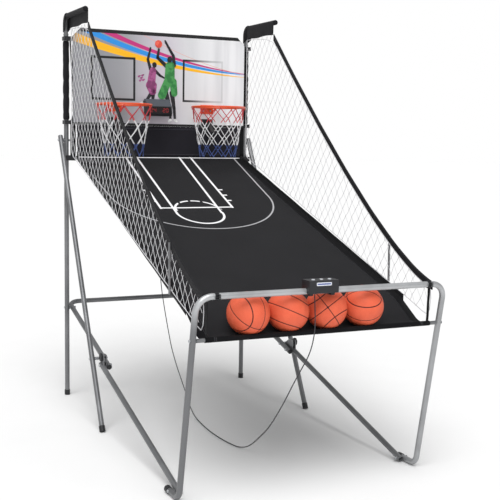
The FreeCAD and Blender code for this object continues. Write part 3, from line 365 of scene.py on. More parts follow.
ramp_mesh = bmesh.new()
along = ramp_mesh.verts.layers.float.new("along")
verts, reach = [], -hypot(*(Vector(crest[-1]) - Vector(crest[0])))
for before, point in zip(side_view[:1] + side_view, side_view):
    reach += hypot(point[0] - before[0], point[1] - before[1])
    verts.append(ramp_mesh.verts.new((-1.0, *point)))
    verts[-1][along] = reach
ramp_length = reach - verts[0][along]
edges = [ramp_mesh.edges.new(pair) for pair in zip(verts, verts[1:])]
bmesh.ops.spin(ramp_mesh, geom=verts + edges, cent=(0, 0, 0), axis=(1, 0, 0), dvec=(2.0 / 30, 0, 0),
               angle=0.0,
               steps=30, use_duplicate=False)
for vert in ramp_mesh.verts:
    share = (rear_bar.y + 0.02 - vert.co.y) / (rear_bar.y + 0.02 - front_rod.y)
    across = vert.co.x
    vert.co.x *= RAMP_WIDTH[0] + (RAMP_WIDTH[1] - RAMP_WIDTH[0]) * min(max(share, 0.0), 1.0)
    run = (crest[-1][0] - vert.co.y) / (crest[-1][0] - knee[0])
    if 0.0 < run < 1.0:
        ripple = 0.0006 * sin(38 * vert.co.y + 9 * across) * across ** 2
        vert.co.z -= RAMP_SAG * sin(pi * run) ** 0.8 * (1.0 - across ** 4) + ripple
bmesh.ops.recalc_face_normals(ramp_mesh, faces=ramp_mesh.faces)
if sum(face.normal.z for face in ramp_mesh.faces) < 0:
    bmesh.ops.reverse_faces(ramp_mesh, faces=ramp_mesh.faces)


def lay_flat(mesh, flat):
    """Stores where each corner lies on the cloth before it was sewn, in metres."""
    cut = mesh.loops.layers.uv.new("cut")
    for face in mesh.faces:
        for corner in face.loops:
            corner[cut].uv = flat(corner.vert)


lay_flat(ramp_mesh, lambda vert: (vert.co.x, vert[along]))


def woven(across, along, pitch):
    """Height of a plain weave with that spacing between its threads."""
    turn = 2 * pi / pitch
    return (across * turn).wave() * (along * turn).wave()


def printed_court(u, y):
    """How far each spot is from the nearest court line, in metres, for y the reach from the uprights."""
    def straight(x0, lean, start, end):
        return abs(u - (x0 + lean * y)).greater(y - start).greater(end - y)

    def level_line(at, x0, x1):
        return abs(y - at).greater(x0 - u).greater(u - x1)

    def ring(x0, y0, across, down, upper):
        gap = abs(((u - x0) / across) ** 2.0 + ((y - y0) / down) ** 2.0 - 1.0) * (across * 0.5)
        return gap.greater(y0 - y if upper else y - y0), (u - x0)

    lines = [straight(-0.205, 0.058, -0.046, -0.712), straight(-0.142, 0.056, -0.046, -0.772),
             straight(0.109, 0.076, -0.046, -0.772), straight(0.176, 0.056, -0.046, -0.712),
             level_line(-0.708, -0.246, 0.136), level_line(-0.050, -0.470, 0.470),
             ring(-0.066, -0.772, 0.120, 0.120, False)[0]]
    dashes, offset = ring(-0.056, -0.735, 0.118, 0.108, True)
    lines.append(dashes.greater((0.026 - (offset + 0.017) % 0.062) * 0.5))
    for mark in (-0.491, -0.560, -0.627):
        for x0, width in ((-0.205 + 0.058 * mark, 0.022), (0.176 + 0.056 * mark, 0.022)):
            side = -1 if x0 < 0 else 1
            lines.append(level_line(mark, min(x0, x0 + side * width), max(x0, x0 + side * width)))
    nearest = lines[0]
    for line in lines[1:]:
        nearest = nearest.lesser(line)
    outer = straight(-0.486, -0.046, -0.046, -0.560).lesser(straight(0.441, 0.073, -0.046, -0.560))
    outer = outer.lesser(ring(-0.030, -0.560, 0.430, 0.392, False)[0])
    return nearest, outer


ramp_cloth = Finish("ramp_polyester", "2b2b2d", {"Specular IOR Level": 0.06, "Sheen Weight": 0.02})
spot, u, v = ramp_cloth.cut()
edge = RAMP_WIDTH[0] + v * ((RAMP_WIDTH[1] - RAMP_WIDTH[0]) / 1.97) - abs(u)
nearest, outer = printed_court(u, -0.0262 - v * cos(RAMP_TILT))
ink = 1.0 - ramp_cloth.fade(nearest, 0.0050, 0.0066)
thin_ink = 1.0 - ramp_cloth.fade(outer, 0.0034, 0.0046)
cloud = ramp_cloth.noise(spot, 5.0, 4.0)
speckle = ramp_cloth.noise(spot, 420.0, 2.0)
ink_wear_and_painted_coat_shade = ramp_cloth.fade(ramp_cloth.noise(spot, 130.0, 4.0, 0.7), 0.25, 0.45)
hem = edge < 0.048
front_hem = v > ramp_length - 0.125
ground = ramp_cloth.mix(cloud * 0.6 + speckle * 0.4, "1e1e20", "2a2a2c")
ground = ramp_cloth.mix(hem.greater(front_hem) * 0.85, ground, "101012")
stitch_run = ((v % 0.006) < 0.0042).greater(front_hem)
stitches = (abs(edge - 0.045).lesser(abs(edge - 0.038)) < 0.0007) * stitch_run
stitches = stitches.greater((abs(v - (ramp_length - 0.121)) < 0.0007) * ((u % 0.006) < 0.0042))
colour = ramp_cloth.mix(stitches * 0.6, ground, "6a6a6e")
colour = ramp_cloth.mix((thin_ink * ink_wear_and_painted_coat_shade) * 0.72, colour, "c9c9cc")
ramp_cloth.feed("Base Color", ramp_cloth.mix(ink * (0.82 + ink_wear_and_painted_coat_shade * 0.18), colour, "f1f1f3"))
ramp_cloth.feed("Roughness", 0.62 + speckle * 0.16 - ink * 0.14)
weave = woven(u, v, 0.0022)
puckers = ramp_cloth.noise(spot, 22.0, 3.0)
ramp_cloth.raised(weave * 0.25 + puckers * 0.9 + stitches * 1.2 + hem * 1.6 + ink * 0.3, 0.0004)
ramp = piece("ramp_sheet", ramp_mesh, ramp_cloth, None, ["ramp_cloth"], 60.0)
wall = ramp.modifiers.new("wall", "SOLIDIFY")
wall.thickness, wall.offset = CLOTH_WALL, -1.0
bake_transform(ramp)
2 * ramp_length * sum(RAMP_WIDTH) / 2

# ---- Rear panel ---------------------------------------------------------------------
# Black polyester panel that closes the gap between the board and the ramp. It hangs from
# the board's lower tube, hemmed all round, and falls in faint upright folds.
panel_low, panel_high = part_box("rear_panel")
rear_mesh = bmesh.new()
bmesh.ops.create_grid(rear_mesh, x_segments=72, y_segments=10, size=0.5)
bmesh.ops.rotate(rear_mesh, verts=rear_mesh.verts, matrix=Matrix.Rotation(radians(90), 3, "X"))
for vert in rear_mesh.verts:
    px, pz = vert.co.x, vert.co.z + 0.5
    fold = 0.0011 * sin(31 * px + 1.3 * sin(9 * px)) * (1.0 - pz) + 0.0005 * sin(57 * px + 2.0)
    vert.co = (px * (panel_high.x - panel_low.x), (panel_low.y + panel_high.y) / 2 + fold - 0.0004,
               panel_low.z + pz * (panel_high.z - panel_low.z))
bmesh.ops.recalc_face_normals(rear_mesh, faces=rear_mesh.faces)
lay_flat(rear_mesh, lambda vert: (vert.co.x, vert.co.z))
rear_cloth = Finish("rear_polyester", "26252a", {"Specular IOR Level": 0.08, "Sheen Weight": 0.03})
spot, u, v = rear_cloth.cut()
cloud = rear_cloth.noise(spot, 6.0, 4.0)
from_hem = abs(v - (panel_high.z - 0.016)).lesser(abs(v - (panel_low.z + 0.014)))
seam = (from_hem < 0.0008) * ((u % 0.006) < 0.0042)
rear_cloth.feed("Base Color", rear_cloth.mix(seam * 0.7, rear_cloth.mix(cloud, "1e1d22", "2d2c32"), "606068"))
rear_cloth.feed("Roughness", 0.68 + cloud * 0.14)
rear_cloth.raised(woven(u, v, 0.0020) * 0.3 + seam + rear_cloth.noise(spot, 26.0) * 0.8, 0.0003)
panel = piece("rear_panel_sheet", rear_mesh, rear_cloth, "root", ["rear_panel"], 60.0)
wall = panel.modifiers.new("wall", "SOLIDIFY")
wall.thickness, wall.offset = 0.0012, 0.0

# ---- Board --------------------------------------------------------------------------
# Printed PVC sheet, stretched over a chamfered tube frame and bound along its edges with
# black tape. The print is a grey fade with coloured streaks, two aiming frames and tape.
board_low, board_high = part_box("backboard_banner")
CHAMFER = 0.044


def board_outline(inset):
    half, cut = board_high.x - inset, CHAMFER - inset * 0.41
    low, top = board_low.z + inset, board_high.z - inset
    return [(-half, low), (-half, top - cut), (-half + cut, top), (half - cut, top), (half, top - cut),
            (half, low)]


board_mesh = bmesh.new()
rim_points = [board_mesh.verts.new((px, board_low.y, pz)) for px, pz in board_outline(0.0)]
bmesh.ops.contextual_create(board_mesh, geom=rim_points)
sheet_back = bmesh.ops.extrude_face_region(board_mesh, geom=board_mesh.faces[:])["geom"]
bmesh.ops.translate(board_mesh, verts=[g for g in sheet_back if isinstance(g, bmesh.types.BMVert)],
                    vec=(0.0, 0.0016, 0.0))
bmesh.ops.recalc_face_normals(board_mesh, faces=board_mesh.faces)
board_print = Finish("printed_pvc", "c4c4c6", {"Specular IOR Level": 0.4, "Coat Weight": 0.15})
spot, x, y, z = board_print.place()


def streak(upper, lower):
    """Mask of a tapering streak between two curves, each height = a x^2 + b x + c."""
    top = (x * upper[0] + upper[1]) * x + upper[2]
    low = (x * lower[0] + lower[1]) * x + lower[2]
    return board_print.fade(top - z, -0.0006, 0.0006) * board_print.fade(z - low, -0.0006, 0.0006)


def aiming_frame(x0, x1, z0, z1, width):
    """Mask of a square printed line between an outer box and one inset by the line's width."""
    inside = (x - x0).lesser(x1 - x).lesser(z - z0).lesser(z1 - z)
    past_edge = board_print.fade(inside, -0.0004, 0.0004)
    return past_edge * (1.0 - board_print.fade(inside, width - 0.0004, width + 0.0004))


paper = board_print.mix(board_print.fade(x, -0.35, 0.42), "94959a", "f0f0f2")
sweep = board_print.fade(board_print.noise(board_print.node("Mapping", (), {
    "Vector": spot, "Rotation": (0.0, radians(28), 0.0), "Scale": (9.0, 1.0, 0.8)}), 1.6, 3.0), 0.35, 0.75)
paper = board_print.mix(sweep * board_print.fade(x, -0.1, 0.2) * 0.5, paper, "c2c3c7")
paper = board_print.mix((1.0 - board_print.fade(abs(x + 0.02), 0.02, 0.20)) * 0.30, paper, "d9c3da")
for colour, upper, lower in (("fdbb1a", (0.1323, -0.1986, 1.8314), (0.1276, -0.1523, 1.8074)),
                             ("2f92e2", (0.1837, -0.2433, 1.8574), (0.1947, -0.2126, 1.8350)),
                             ("c5327c", (0.1996, -0.2872, 1.8788), (0.1877, -0.2511, 1.8613)),
                             ("e9a08c", (0.2629, -0.4177, 1.9222), (0.2629, -0.4177, 1.9200))):
    paper = board_print.mix(streak(upper, lower) * board_print.fade(x, -0.52, -0.44), paper, colour)
left_frame = aiming_frame(-0.402, -0.152, 1.611, 1.845, 0.0125)
frames = left_frame.greater(aiming_frame(0.124, 0.368, 1.614, 1.848, 0.0110))
paper = board_print.mix(frames * (board_print.fade(0.62 - x, 0.25, 0.50) * 0.8 + 0.2), paper, "17171a")
paper = board_print.mix(y > board_low.y + 0.0008, paper, "c9cacd")
band = (z > board_high.z - 0.019).greater(z < board_low.z + 0.013)
board_print.feed("Base Color", board_print.mix(band, paper, "151517"))
glaze = board_print.noise(spot, 14.0, 3.0)
board_print.feed("Roughness", 0.34 + glaze * 0.12 + band * 0.25)
board_print.raised(glaze * 0.8 + board_print.noise(spot, 700.0, 1.0) * 0.12, 0.0005)
board = piece("board_sheet", board_mesh, board_print, "root", ["backboard_banner"])

# ---- Board binding ------------------------------------------------------------------
# Woven black tape, folded over the sheet's edge and stitched once all the way round.
def round_edges(mesh, edges, radius, segments, clamp=False):
    """Round the given edges of a mesh by an even width."""
    bmesh.ops.bevel(mesh, geom=edges, offset=radius, offset_type="OFFSET", affect="EDGES", segments=segments,
                    profile=0.5, material=-1, clamp_overlap=clamp)


binding_mesh = bmesh.new()
outer_ring = [binding_mesh.verts.new((px, board_low.y - 0.0009, pz)) for px, pz in board_outline(0.0006)]
binding_mesh.faces.new(outer_ring)
bmesh.ops.inset_region(binding_mesh, faces=binding_mesh.faces[:], thickness=0.0085, use_boundary=True,
                       use_even_offset=True)
middle = max(binding_mesh.faces, key=lambda face: face.calc_area())
bmesh.ops.delete(binding_mesh, geom=[middle], context="FACES_ONLY")
deep = bmesh.ops.extrude_face_region(binding_mesh, geom=binding_mesh.faces[:])["geom"]
bmesh.ops.translate(binding_mesh, verts=[g for g in deep if isinstance(g, bmesh.types.BMVert)],
                    vec=(0, 0.0034, 0))
bmesh.ops.recalc_face_normals(binding_mesh, faces=binding_mesh.faces)
round_edges(binding_mesh, binding_mesh.edges[:], 0.0007, 2, clamp=True)


def woven_black(name, dull="19191b", bright="262629", pitch=0.0016, sheen=0.04):
    """Woven black nylon, with threads that read in the object's own coordinates."""
    finish = Finish(name, dull, {"Specular IOR Level": 0.12, "Sheen Weight": sheen})
    spot, x, y, z = finish.place()
    turn = 2 * pi / pitch
    rib = ((x + y * 0.6) * turn).wave() * ((z - y * 0.6) * turn).wave()
    cloud = finish.noise(spot, 30.0, 4.0)
    finish.feed("Base Color", finish.mix(cloud * 0.7 + rib * 0.15, dull, bright))
    finish.feed("Roughness", 0.66 + cloud * 0.2)
    finish.raised(rib * 0.5 + cloud * 0.8, 0.0003)
    return finish


black_tape = woven_black("black_binding_tape")
piece("board_binding", binding_mesh, black_tape, "root")

# ---- Printed players ----------------------------------------------------------------
# Two plain figures with no faces, cut from thin coloured film and laid on the board: one
# reaches up in front of the other, who lifts the ball. Each limb is one rounded strip.
FILM = 0.00035
film_colours = []
for name, dark, light in (("dark_figure_film", "121015", "211f26"), ("lilac_kit_film", "7f3767", "a8548a"),
                          ("green_kit_film", "2a7a3b", "44974f"), ("coral_film", "d94a3c", "f26a55"),
                          ("white_film", "dedede", "f4f4f4")):
    film = Finish(name, light)
    film_colours.append(film)
    spot, x, y, z = film.place()
    patch = film.fade(film.noise(spot, 42.0, 3.0), 0.42, 0.58)
    film.feed("Base Color", film.mix(patch, dark, light))
    film.feed("Roughness", 0.34 + patch * 0.08)

figures_mesh = bmesh.new()


def strip(colour, layer, *stations):
    """A flat rounded strip through stations of x, z and half width, in millimetres."""
    for (xa, za, ra), (xb, zb, rb) in zip(stations, stations[1:]):
        limb = bmesh.new()
        for px, pz, half in ((xa, za, ra), (xb, zb, rb)):
            for lift, share in ((layer + 1, 0.96), (layer - 1, 1.0)):
                place = Matrix.Translation((px / 1000, board_low.y - FILM * lift, pz / 1000))
                bmesh.ops.create_circle(limb, segments=18, radius=half / 1000 * share,
                                        matrix=place @ Matrix.Rotation(pi / 2, 4, "X"))
        for count, vert in enumerate(limb.verts):
            vert.co.y += 4e-6 * sin(2.4 * count)
        hull = bmesh.ops.convex_hull(limb, input=limb.verts[:])
        bmesh.ops.delete(limb, geom=list({g for g in hull["geom_interior"] + hull["geom_unused"]
                                          if isinstance(g, bmesh.types.BMVert)}), context="VERTS")
        for face in limb.faces:
            face.material_index = colour
        part = bpy.data.meshes.new("limb")
        limb.to_mesh(part)
        limb.free()
        figures_mesh.from_mesh(part)
        bpy.data.meshes.remove(part)


# the player behind, in lilac
strip(0, 1, (-58, 1660, 11), (-84, 1622, 8), (-106, 1606, 6))
strip(0, 1, (-48, 1662, 12), (-52, 1618, 8), (-46, 1580, 6))
strip(1, 2, (-70, 1700, 22), (-56, 1664, 18))
strip(1, 2, (-48, 1700, 20), (-46, 1662, 14))
strip(1, 3, (-52, 1778, 20), (-62, 1704, 24))
strip(0, 2, (-66, 1786, 9), (-81, 1838, 7.5), (-70, 1884, 5.5))
strip(0, 2, (-68, 1890, 7), (-66, 1902, 4))
strip(0, 2, (-36, 1776, 9), (-10, 1754, 7), (14, 1742, 5))
strip(0, 4, (-43, 1812, 13), (-43, 1806, 12))
strip(4, 3, (-112, 1604, 6), (-124, 1600, 4))
strip(4, 3, (-44, 1574, 6), (-34, 1568, 4))
# the player in front, in green, with the ball
strip(0, 5, (60, 1660, 14), (74, 1576, 9), (79, 1520, 7))
strip(0, 5, (24, 1660, 15), (50, 1580, 9), (52, 1520, 7))
strip(2, 6, (66, 1722, 22), (74, 1660, 19))
strip(2, 6, (34, 1722, 22), (2, 1648, 24))
strip(2, 7, (48, 1806, 27), (46, 1736, 30))
strip(0, 5, (26, 1806, 11), (-25, 1850, 8), (-18, 1896, 6))
strip(0, 5, (72, 1812, 11), (68, 1862, 8.5), (28, 1926, 6))
strip(0, 5, (24, 1932, 7), (18, 1944, 4))
strip(0, 7, (46, 1846, 14), (45, 1838, 13))
strip(4, 6, (80, 1512, 8), (90, 1505, 5))
strip(4, 6, (52, 1512, 8), (42, 1504, 5))
strip(3, 6, (-20, 1924, 21), (-19.5, 1924, 21))
for px, pz in ((-119, 1736), (-133, 1744), (-108, 1726), (-126, 1722), (-113, 1750)):
    strip(1, 1, (px, pz, 6), (px + 9, pz + 5, 2.5))
bmesh.ops.recalc_face_normals(figures_mesh, faces=figures_mesh.faces)
piece("printed_players", figures_mesh, film_colours, "root", (), 8.0)

# ---- Rims ---------------------------------------------------------------------------
# Steel rings welded to their brackets and painted orange. Ten bent wire hooks below
# each ring carry its net.
rim_paint = Finish("orange_rim_enamel", "e8501e", {"Specular IOR Level": 0.5, "Coat Weight": 0.35,
                                                    "Coat Roughness": 0.15})
spot, x, y, z = rim_paint.place()
cloud = rim_paint.noise(spot, 12.0, 4.0)
chip = rim_paint.fade(rim_paint.noise(spot, 110.0, 4.0, 0.7), 0.70, 0.74)
rim_paint.feed("Base Color", rim_paint.mix(chip * 0.7, rim_paint.mix(cloud, "dd4416", "ee5a26"), "7a2d17"))
rim_paint.feed("Roughness", 0.30 + cloud * 0.14 + chip * 0.2)
rim_paint.raised(rim_paint.noise(spot, 400.0) * 0.5 - chip, 0.00015)
coat(rim_paint, "left_rim", "right_rim")
HOOKS = 10
RING_RADIUS = 0.145
rim_places = {}
for side, node in (("left", "left_rim"), ("right", "right_rim")):
    low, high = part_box(node)
    rim_places[side] = Vector(((low.x + high.x) / 2, low.y + RING_RADIUS + 0.005, 1.585))
    hooks_mesh = bmesh.new()
    for index in range(HOOKS):
        turn = 2 * pi * index / HOOKS
        way = Vector((cos(turn), sin(turn), 0.0))
        wire = bmesh.new()
        bmesh.ops.create_circle(wire, segments=6, radius=0.0014)
        bmesh.ops.rotate(wire, verts=wire.verts, matrix=Matrix.Rotation(radians(90), 3, "Y"))
        bmesh.ops.translate(wire, verts=wire.verts, vec=(0.0, 0.0, 0.0050))
        bmesh.ops.spin(wire, geom=wire.verts[:] + wire.edges[:], cent=(0, 0, 0), axis=(0, 1, 0), angle=2 * pi,
                       steps=12, use_merge=True, use_duplicate=False)
        bmesh.ops.recalc_face_normals(wire, faces=wire.faces)
        bmesh.ops.rotate(wire, verts=wire.verts, matrix=Matrix.Rotation(turn, 3, "Z"))
        bmesh.ops.translate(wire, verts=wire.verts,
                            vec=rim_places[side] + way * RING_RADIUS - Vector((0, 0, 0.0088)))
        part = bpy.data.meshes.new("hook")
        wire.to_mesh(part)
        wire.free()
        hooks_mesh.from_mesh(part)
        bpy.data.meshes.remove(part)
    piece(side + "_rim_hooks", hooks_mesh, rim_paint, "root")

# ---- Hoop nets ----------------------------------------------------------------------
# Braided nylon cord, knotted in diamonds and hung from the hooks: red at the top, white
# in the middle, navy in the last row, where the loops hang free.
net_cord = Finish("tricolour_net_cord", "f0f0f0", {"Specular IOR Level": 0.25, "Sheen Weight": 0.15})
spot, x, y, z = net_cord.place()
fray = net_cord.noise(spot, 380.0, 3.0)
red_white = net_cord.mix(net_cord.fade(z, 1.498, 1.506), "eeeef0", "d0242e")
tint = net_cord.mix(net_cord.fade(z, 1.376, 1.384), "1c3f86", red_white)
net_cord.feed("Base Color", net_cord.mix(fray * 0.25, tint, "8d8d92"))
net_cord.feed("Roughness", 0.7 + fray * 0.2)
twist = ((z + (x + y) * 0.7) * 1700.0).wave()
net_cord.raised(twist * 0.6 + fray * 0.6, 0.0005)
NET_ROWS = [(1.5765, 0.1440), (1.524, 0.1365), (1.468, 0.1240), (1.414, 0.1130), (1.364, 0.1050),
            (1.317, 0.1010)]
CORD = 0.0046


def cord_mesh(name, lines, width, sides=1):
    """One mesh of many round cords, each a smooth line through its points."""
    shape = bpy.data.curves.new(name, "CURVE")
    shape.dimensions = "3D"
    shape.resolution_u = 2
    shape.bevel_depth = width / 2
    shape.bevel_resolution = sides
    shape.use_fill_caps = True
    for points in lines:
        line = shape.splines.new("NURBS")
        line.points.add(len(points) - 1)
        for point, place in zip(line.points, points):
            point.co = (*place, 1.0)
        line.order_u = 3
        line.use_endpoint_u = True
    holder = bpy.data.objects.new(name, shape)
    mesh = bpy.data.meshes.new_from_object(holder)
    bpy.data.objects.remove(holder)
    bpy.data.curves.remove(shape)
    return mesh


for side, centre in rim_places.items():
    strands = []
    for index in range(HOOKS):
        for lean in (-1, 1):
            points = []
            for row, (height, radius) in enumerate(NET_ROWS):
                turn = 2 * pi * (index + lean * row * 0.5) / HOOKS
                wobble = 0.0034 * sin(5.1 * index + 2.3 * row + (0 if side == "left" else 1.7))
                knot = Vector((centre.x + (radius + wobble) * cos(turn),
                               centre.y + (radius + wobble) * sin(turn), height))
                if row:
                    before = points[-1]
                    hang = (before + knot) / 2
                    hang.z -= 0.0035
                    points.append(hang)
                points.append(knot)
            strands.append(points)
    hoop_mesh = bmesh.new()
    hoop_mesh.from_mesh(cord_mesh("strands", strands, CORD))
    for row, (height, radius) in enumerate(NET_ROWS):
        for index in range(HOOKS):
            turn = 2 * pi * (index + row * 0.5) / HOOKS
            wobble = 0.0034 * sin(5.1 * index + 2.3 * row + (0 if side == "left" else 1.7))
            place = Matrix.Translation((centre.x + (radius + wobble) * cos(turn),
                                        centre.y + (radius + wobble) * sin(turn), height))
            bmesh.ops.create_icosphere(hoop_mesh, subdivisions=1, radius=0.0042,
                                       matrix=place @ Matrix.Diagonal((1.0, 1.0, 1.35, 1.0)))
    piece(side + "_hoop_net_cords", hoop_mesh, net_cord, "root", [side + "_hoop_net"], 180.0)

# ---- Side nets ----------------------------------------------------------------------
# Knotted white polyethylene twine in diamond mesh, hung from the top arms, laced to the
# uprights and the webbing, and reaching down to the ramp. The mesh sags between knots.
MESH = 0.046                                          # side of one diamond
TWINE = 0.0022
WEB_WIDTH = 0.034                                     # of the strap along the front edge
WEB_POLES = [(BACK - 0.382, 1.978), (BACK - 1.490, 0.940), (BACK - 1.896, 0.838)]
net_low, net_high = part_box("left_side_net")
NET_PLANE = abs(net_low.x + net_high.x) / 2


def web_at(share):
    """Point of the webbing's upper edge, in the side view."""
    weights = ((1 - share) ** 2, 2 * share * (1 - share), share ** 2)
    return (sum(w * p[0] for w, p in zip(weights, WEB_POLES)),
            sum(w * p[1] for w, p in zip(weights, WEB_POLES)))


def web_height(py):
    """Height of the webbing's upper edge at one reach."""
    y0, y1, y2 = (pole[0] for pole in WEB_POLES)
    a, b, c = y0 - 2 * y1 + y2, 2 * (y1 - y0), y0 - py
    share = (-b - sqrt(b * b - 4 * a * c)) / (2 * a)
    return web_at(min(max(share, 0.0), 1.0))[1]


def net_margin(py, pz):
    """How far a point is inside the net's outline, in metres."""
    top = web_height(py) - WEB_WIDTH + 0.002 if py < WEB_POLES[0][0] else WEB_POLES[0][1] - 0.004
    floor_line = knee[1] + 0.3416 * (py - knee[0]) + 0.012
    return min(top - pz, pz - floor_line, BACK - 0.049 - py, py - (BACK - 1.888))


def trimmed(inner, outer):
    """Where the run from an inner point to an outer one crosses the outline."""
    for _ in range(14):
        half = ((inner[0] + outer[0]) / 2, (inner[1] + outer[1]) / 2)
        if net_margin(*half) > 0:
            inner = half
        else:
            outer = half
    return inner


def knot_at(i, j, side):
    """Place of one knot of the diamond mesh, a little off its true place as in a real net."""
    py = BACK - 0.02 - (i + j) * MESH * 0.62 + 0.0030 * sin(3.7 * i + 5.3 * j + side)
    pz = 2.05 + (i - j) * MESH * 0.80 + 0.0035 * sin(4.9 * i - 2.9 * j + 2 * side)
    return py, pz


twine = Finish("white_net_twine", "f2f2f2", {"Specular IOR Level": 0.3, "Sheen Weight": 0.1})
spot, x, y, z = twine.place()
fuzz = twine.noise(spot, 300.0, 3.0)
twine.feed("Base Color", twine.mix(fuzz * 0.5, "ececee", "98989f"))
twine.feed("Roughness", 0.6 + fuzz * 0.25)
twine.raised(((y + z) * 2400.0).wave() * 0.5 + fuzz, 0.0003)
for name, side in (("left", -1), ("right", 1)):
    runs, knots = [], set()
    for i in range(-50, 50):
        for j in range(-50, 50):
            here = knot_at(i, j, side)
            if not BACK - 1.95 < here[0] < BACK + 0.02:
                continue
            inside = net_margin(*here) > 0
            if inside:
                knots.add((i, j))
            for other in ((i + 1, j), (i, j + 1)):
                there = knot_at(*other, side)
                kept = net_margin(*there) > 0
                if not inside and not kept:
                    continue
                start = here if inside else trimmed(there, here)
                end = there if kept else trimmed(here, there)
                if hypot(start[0] - end[0], start[1] - end[1]) < 0.006:
                    continue
                droop = 0.0022 + 0.0018 * sin(2.1 * i + 3.3 * j)
                bow = 0.0011 * sin(1.7 * i - 2.4 * j)
                runs.append([(side * NET_PLANE, start[0], start[1]),
                             (side * (NET_PLANE + bow), (start[0] * 2 + end[0]) / 3,
                              (start[1] * 2 + end[1]) / 3 - droop),
                             (side * (NET_PLANE - bow), (start[0] + end[0] * 2) / 3,
                              (start[1] + end[1] * 2) / 3 - droop),
                             (side * NET_PLANE, end[0], end[1])])
    net_mesh = bmesh.new()
    net_mesh.from_mesh(cord_mesh("twine", runs, TWINE, 0))
    for i, j in sorted(knots):
        py, pz = knot_at(i, j, side)
        bmesh.ops.create_icosphere(net_mesh, subdivisions=1, radius=0.0021,
                                   matrix=Matrix.Translation((side * NET_PLANE, py, pz)))
    border = [(BACK - 0.049, WEB_POLES[0][1] - 0.004), (BACK - 0.20, WEB_POLES[0][1] - 0.007), WEB_POLES[0]]
    border += [web_at(i / 24) for i in range(1, 25)]
    border = [(py, pz - (WEB_WIDTH - 0.002 if index > 1 else 0.0)) for index, (py, pz) in enumerate(border)]
    low_front = (BACK - 1.886, knee[1] + 0.3416 * (-1.886 + 1.680) + 0.014)
    low_edge = [(BACK - 1.886 + (1.837 * i / 30),
                 low_front[1] + 0.3416 * 1.837 * i / 30 + 0.0012 * sin(4.4 * i))
                for i in range(31)]
    border += low_edge
    border += [(BACK - 0.049, low_edge[-1][1] + (border[0][1] - low_edge[-1][1]) * i / 8)
               for i in range(1, 9)]
    rope = [(side * NET_PLANE, py, pz) for py, pz in border]
    net_mesh.from_mesh(cord_mesh("border", [rope], 0.0032, 1))
    net = piece(name + "_side_net_twine", net_mesh, twine, None, [name + "_side_net"], 180.0)
    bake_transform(net)

# Black binding tape edges each net: one runs down inside the upright and widens below the
# board, one drops from the webbing's end to the rod below the tray.
net_tape = woven_black("black_net_tape", "131315", "232326", 0.0020)
TAPE_RUNS = (("rear", "root", (1, 0), [(0.5080, -0.022, 1.915, 0.010), (0.4870, -0.022, 1.530, 0.010),
                                       (0.4950, -0.022, 1.498, 0.030), (0.4950, -0.022, 1.306, 0.030)]),
             ("front", "front_frame", (0, 1),
              [(0.500, -1.893, 0.838, 0.016), (0.4985, -1.889, 0.6725, 0.016)]))
for name, side in (("left", -1), ("right", 1)):
    for place, body, (over, along), run in TAPE_RUNS:
        tape_mesh = bmesh.new()
        ends = [[tape_mesh.verts.new((side * px + lean * over * width / 2,
                                      BACK + py + lean * along * width / 2, pz))
                 for lean in (-1, 1)] for px, py, pz, width in run]
        length = sum((lower[0].co - upper[0].co).length for upper, lower in zip(ends, ends[1:]))
        for upper, lower in zip(ends, ends[1:]):
            tape_mesh.faces.new((upper[0], upper[1], lower[1], lower[0]))
        bmesh.ops.subdivide_edges(tape_mesh, edges=tape_mesh.edges[:], cuts=5, use_grid_fill=True)
        for vert in tape_mesh.verts:
            flutter = 0.0007 * sin(90 * vert.co.z + 40 * (vert.co.y + vert.co.x))
            vert.co += Vector((along * flutter, over * flutter, 0.0))
        bmesh.ops.recalc_face_normals(tape_mesh, faces=tape_mesh.faces)
        cloth_area = sum(face.calc_area() for face in tape_mesh.faces)
        tape = piece(f"{name}_net_{place}_tape", tape_mesh, net_tape, body, (), 60.0)
        wall = tape.modifiers.new("wall", "SOLIDIFY")
        wall.thickness, wall.offset = 0.0012, 0.0
        cloth_area / length

# The net's foot is bound in the same tape, which follows the ramp's hem.
for name, side in (("left", -1), ("right", 1)):
    foot_mesh = bmesh.new()
    verts = []
    for index in range(49):
        py = BACK - 0.052 - (1.700 - 0.052) * index / 48
        floor_line = knee[1] + 0.3416 * (py - knee[0])
        hem_x = RAMP_WIDTH[0] + (RAMP_WIDTH[1] - RAMP_WIDTH[0]) * index / 53 + 0.0016
        verts.append(foot_mesh.verts.new((side * (hem_x + 0.0006 * sin(index * 0.8)), py,
                                          floor_line - 0.013)))
    edges = [foot_mesh.edges.new(pair) for pair in zip(verts, verts[1:])]
    bmesh.ops.spin(foot_mesh, geom=verts + edges, cent=(0, 0, 0), axis=(1, 0, 0), dvec=(0, 0, 0.030 / 3),
                   angle=0.0,
                   steps=3, use_duplicate=False)
    bmesh.ops.recalc_face_normals(foot_mesh, faces=foot_mesh.faces)
    cloth_area = sum(face.calc_area() for face in foot_mesh.faces)
    tape = piece(name + "_net_foot_tape", foot_mesh, net_tape, None, (), 60.0)
    wall = tape.modifiers.new("wall", "SOLIDIFY")
    wall.thickness, wall.offset = 0.0012, 0.0
    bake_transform(tape)
    cloth_area / 0.030

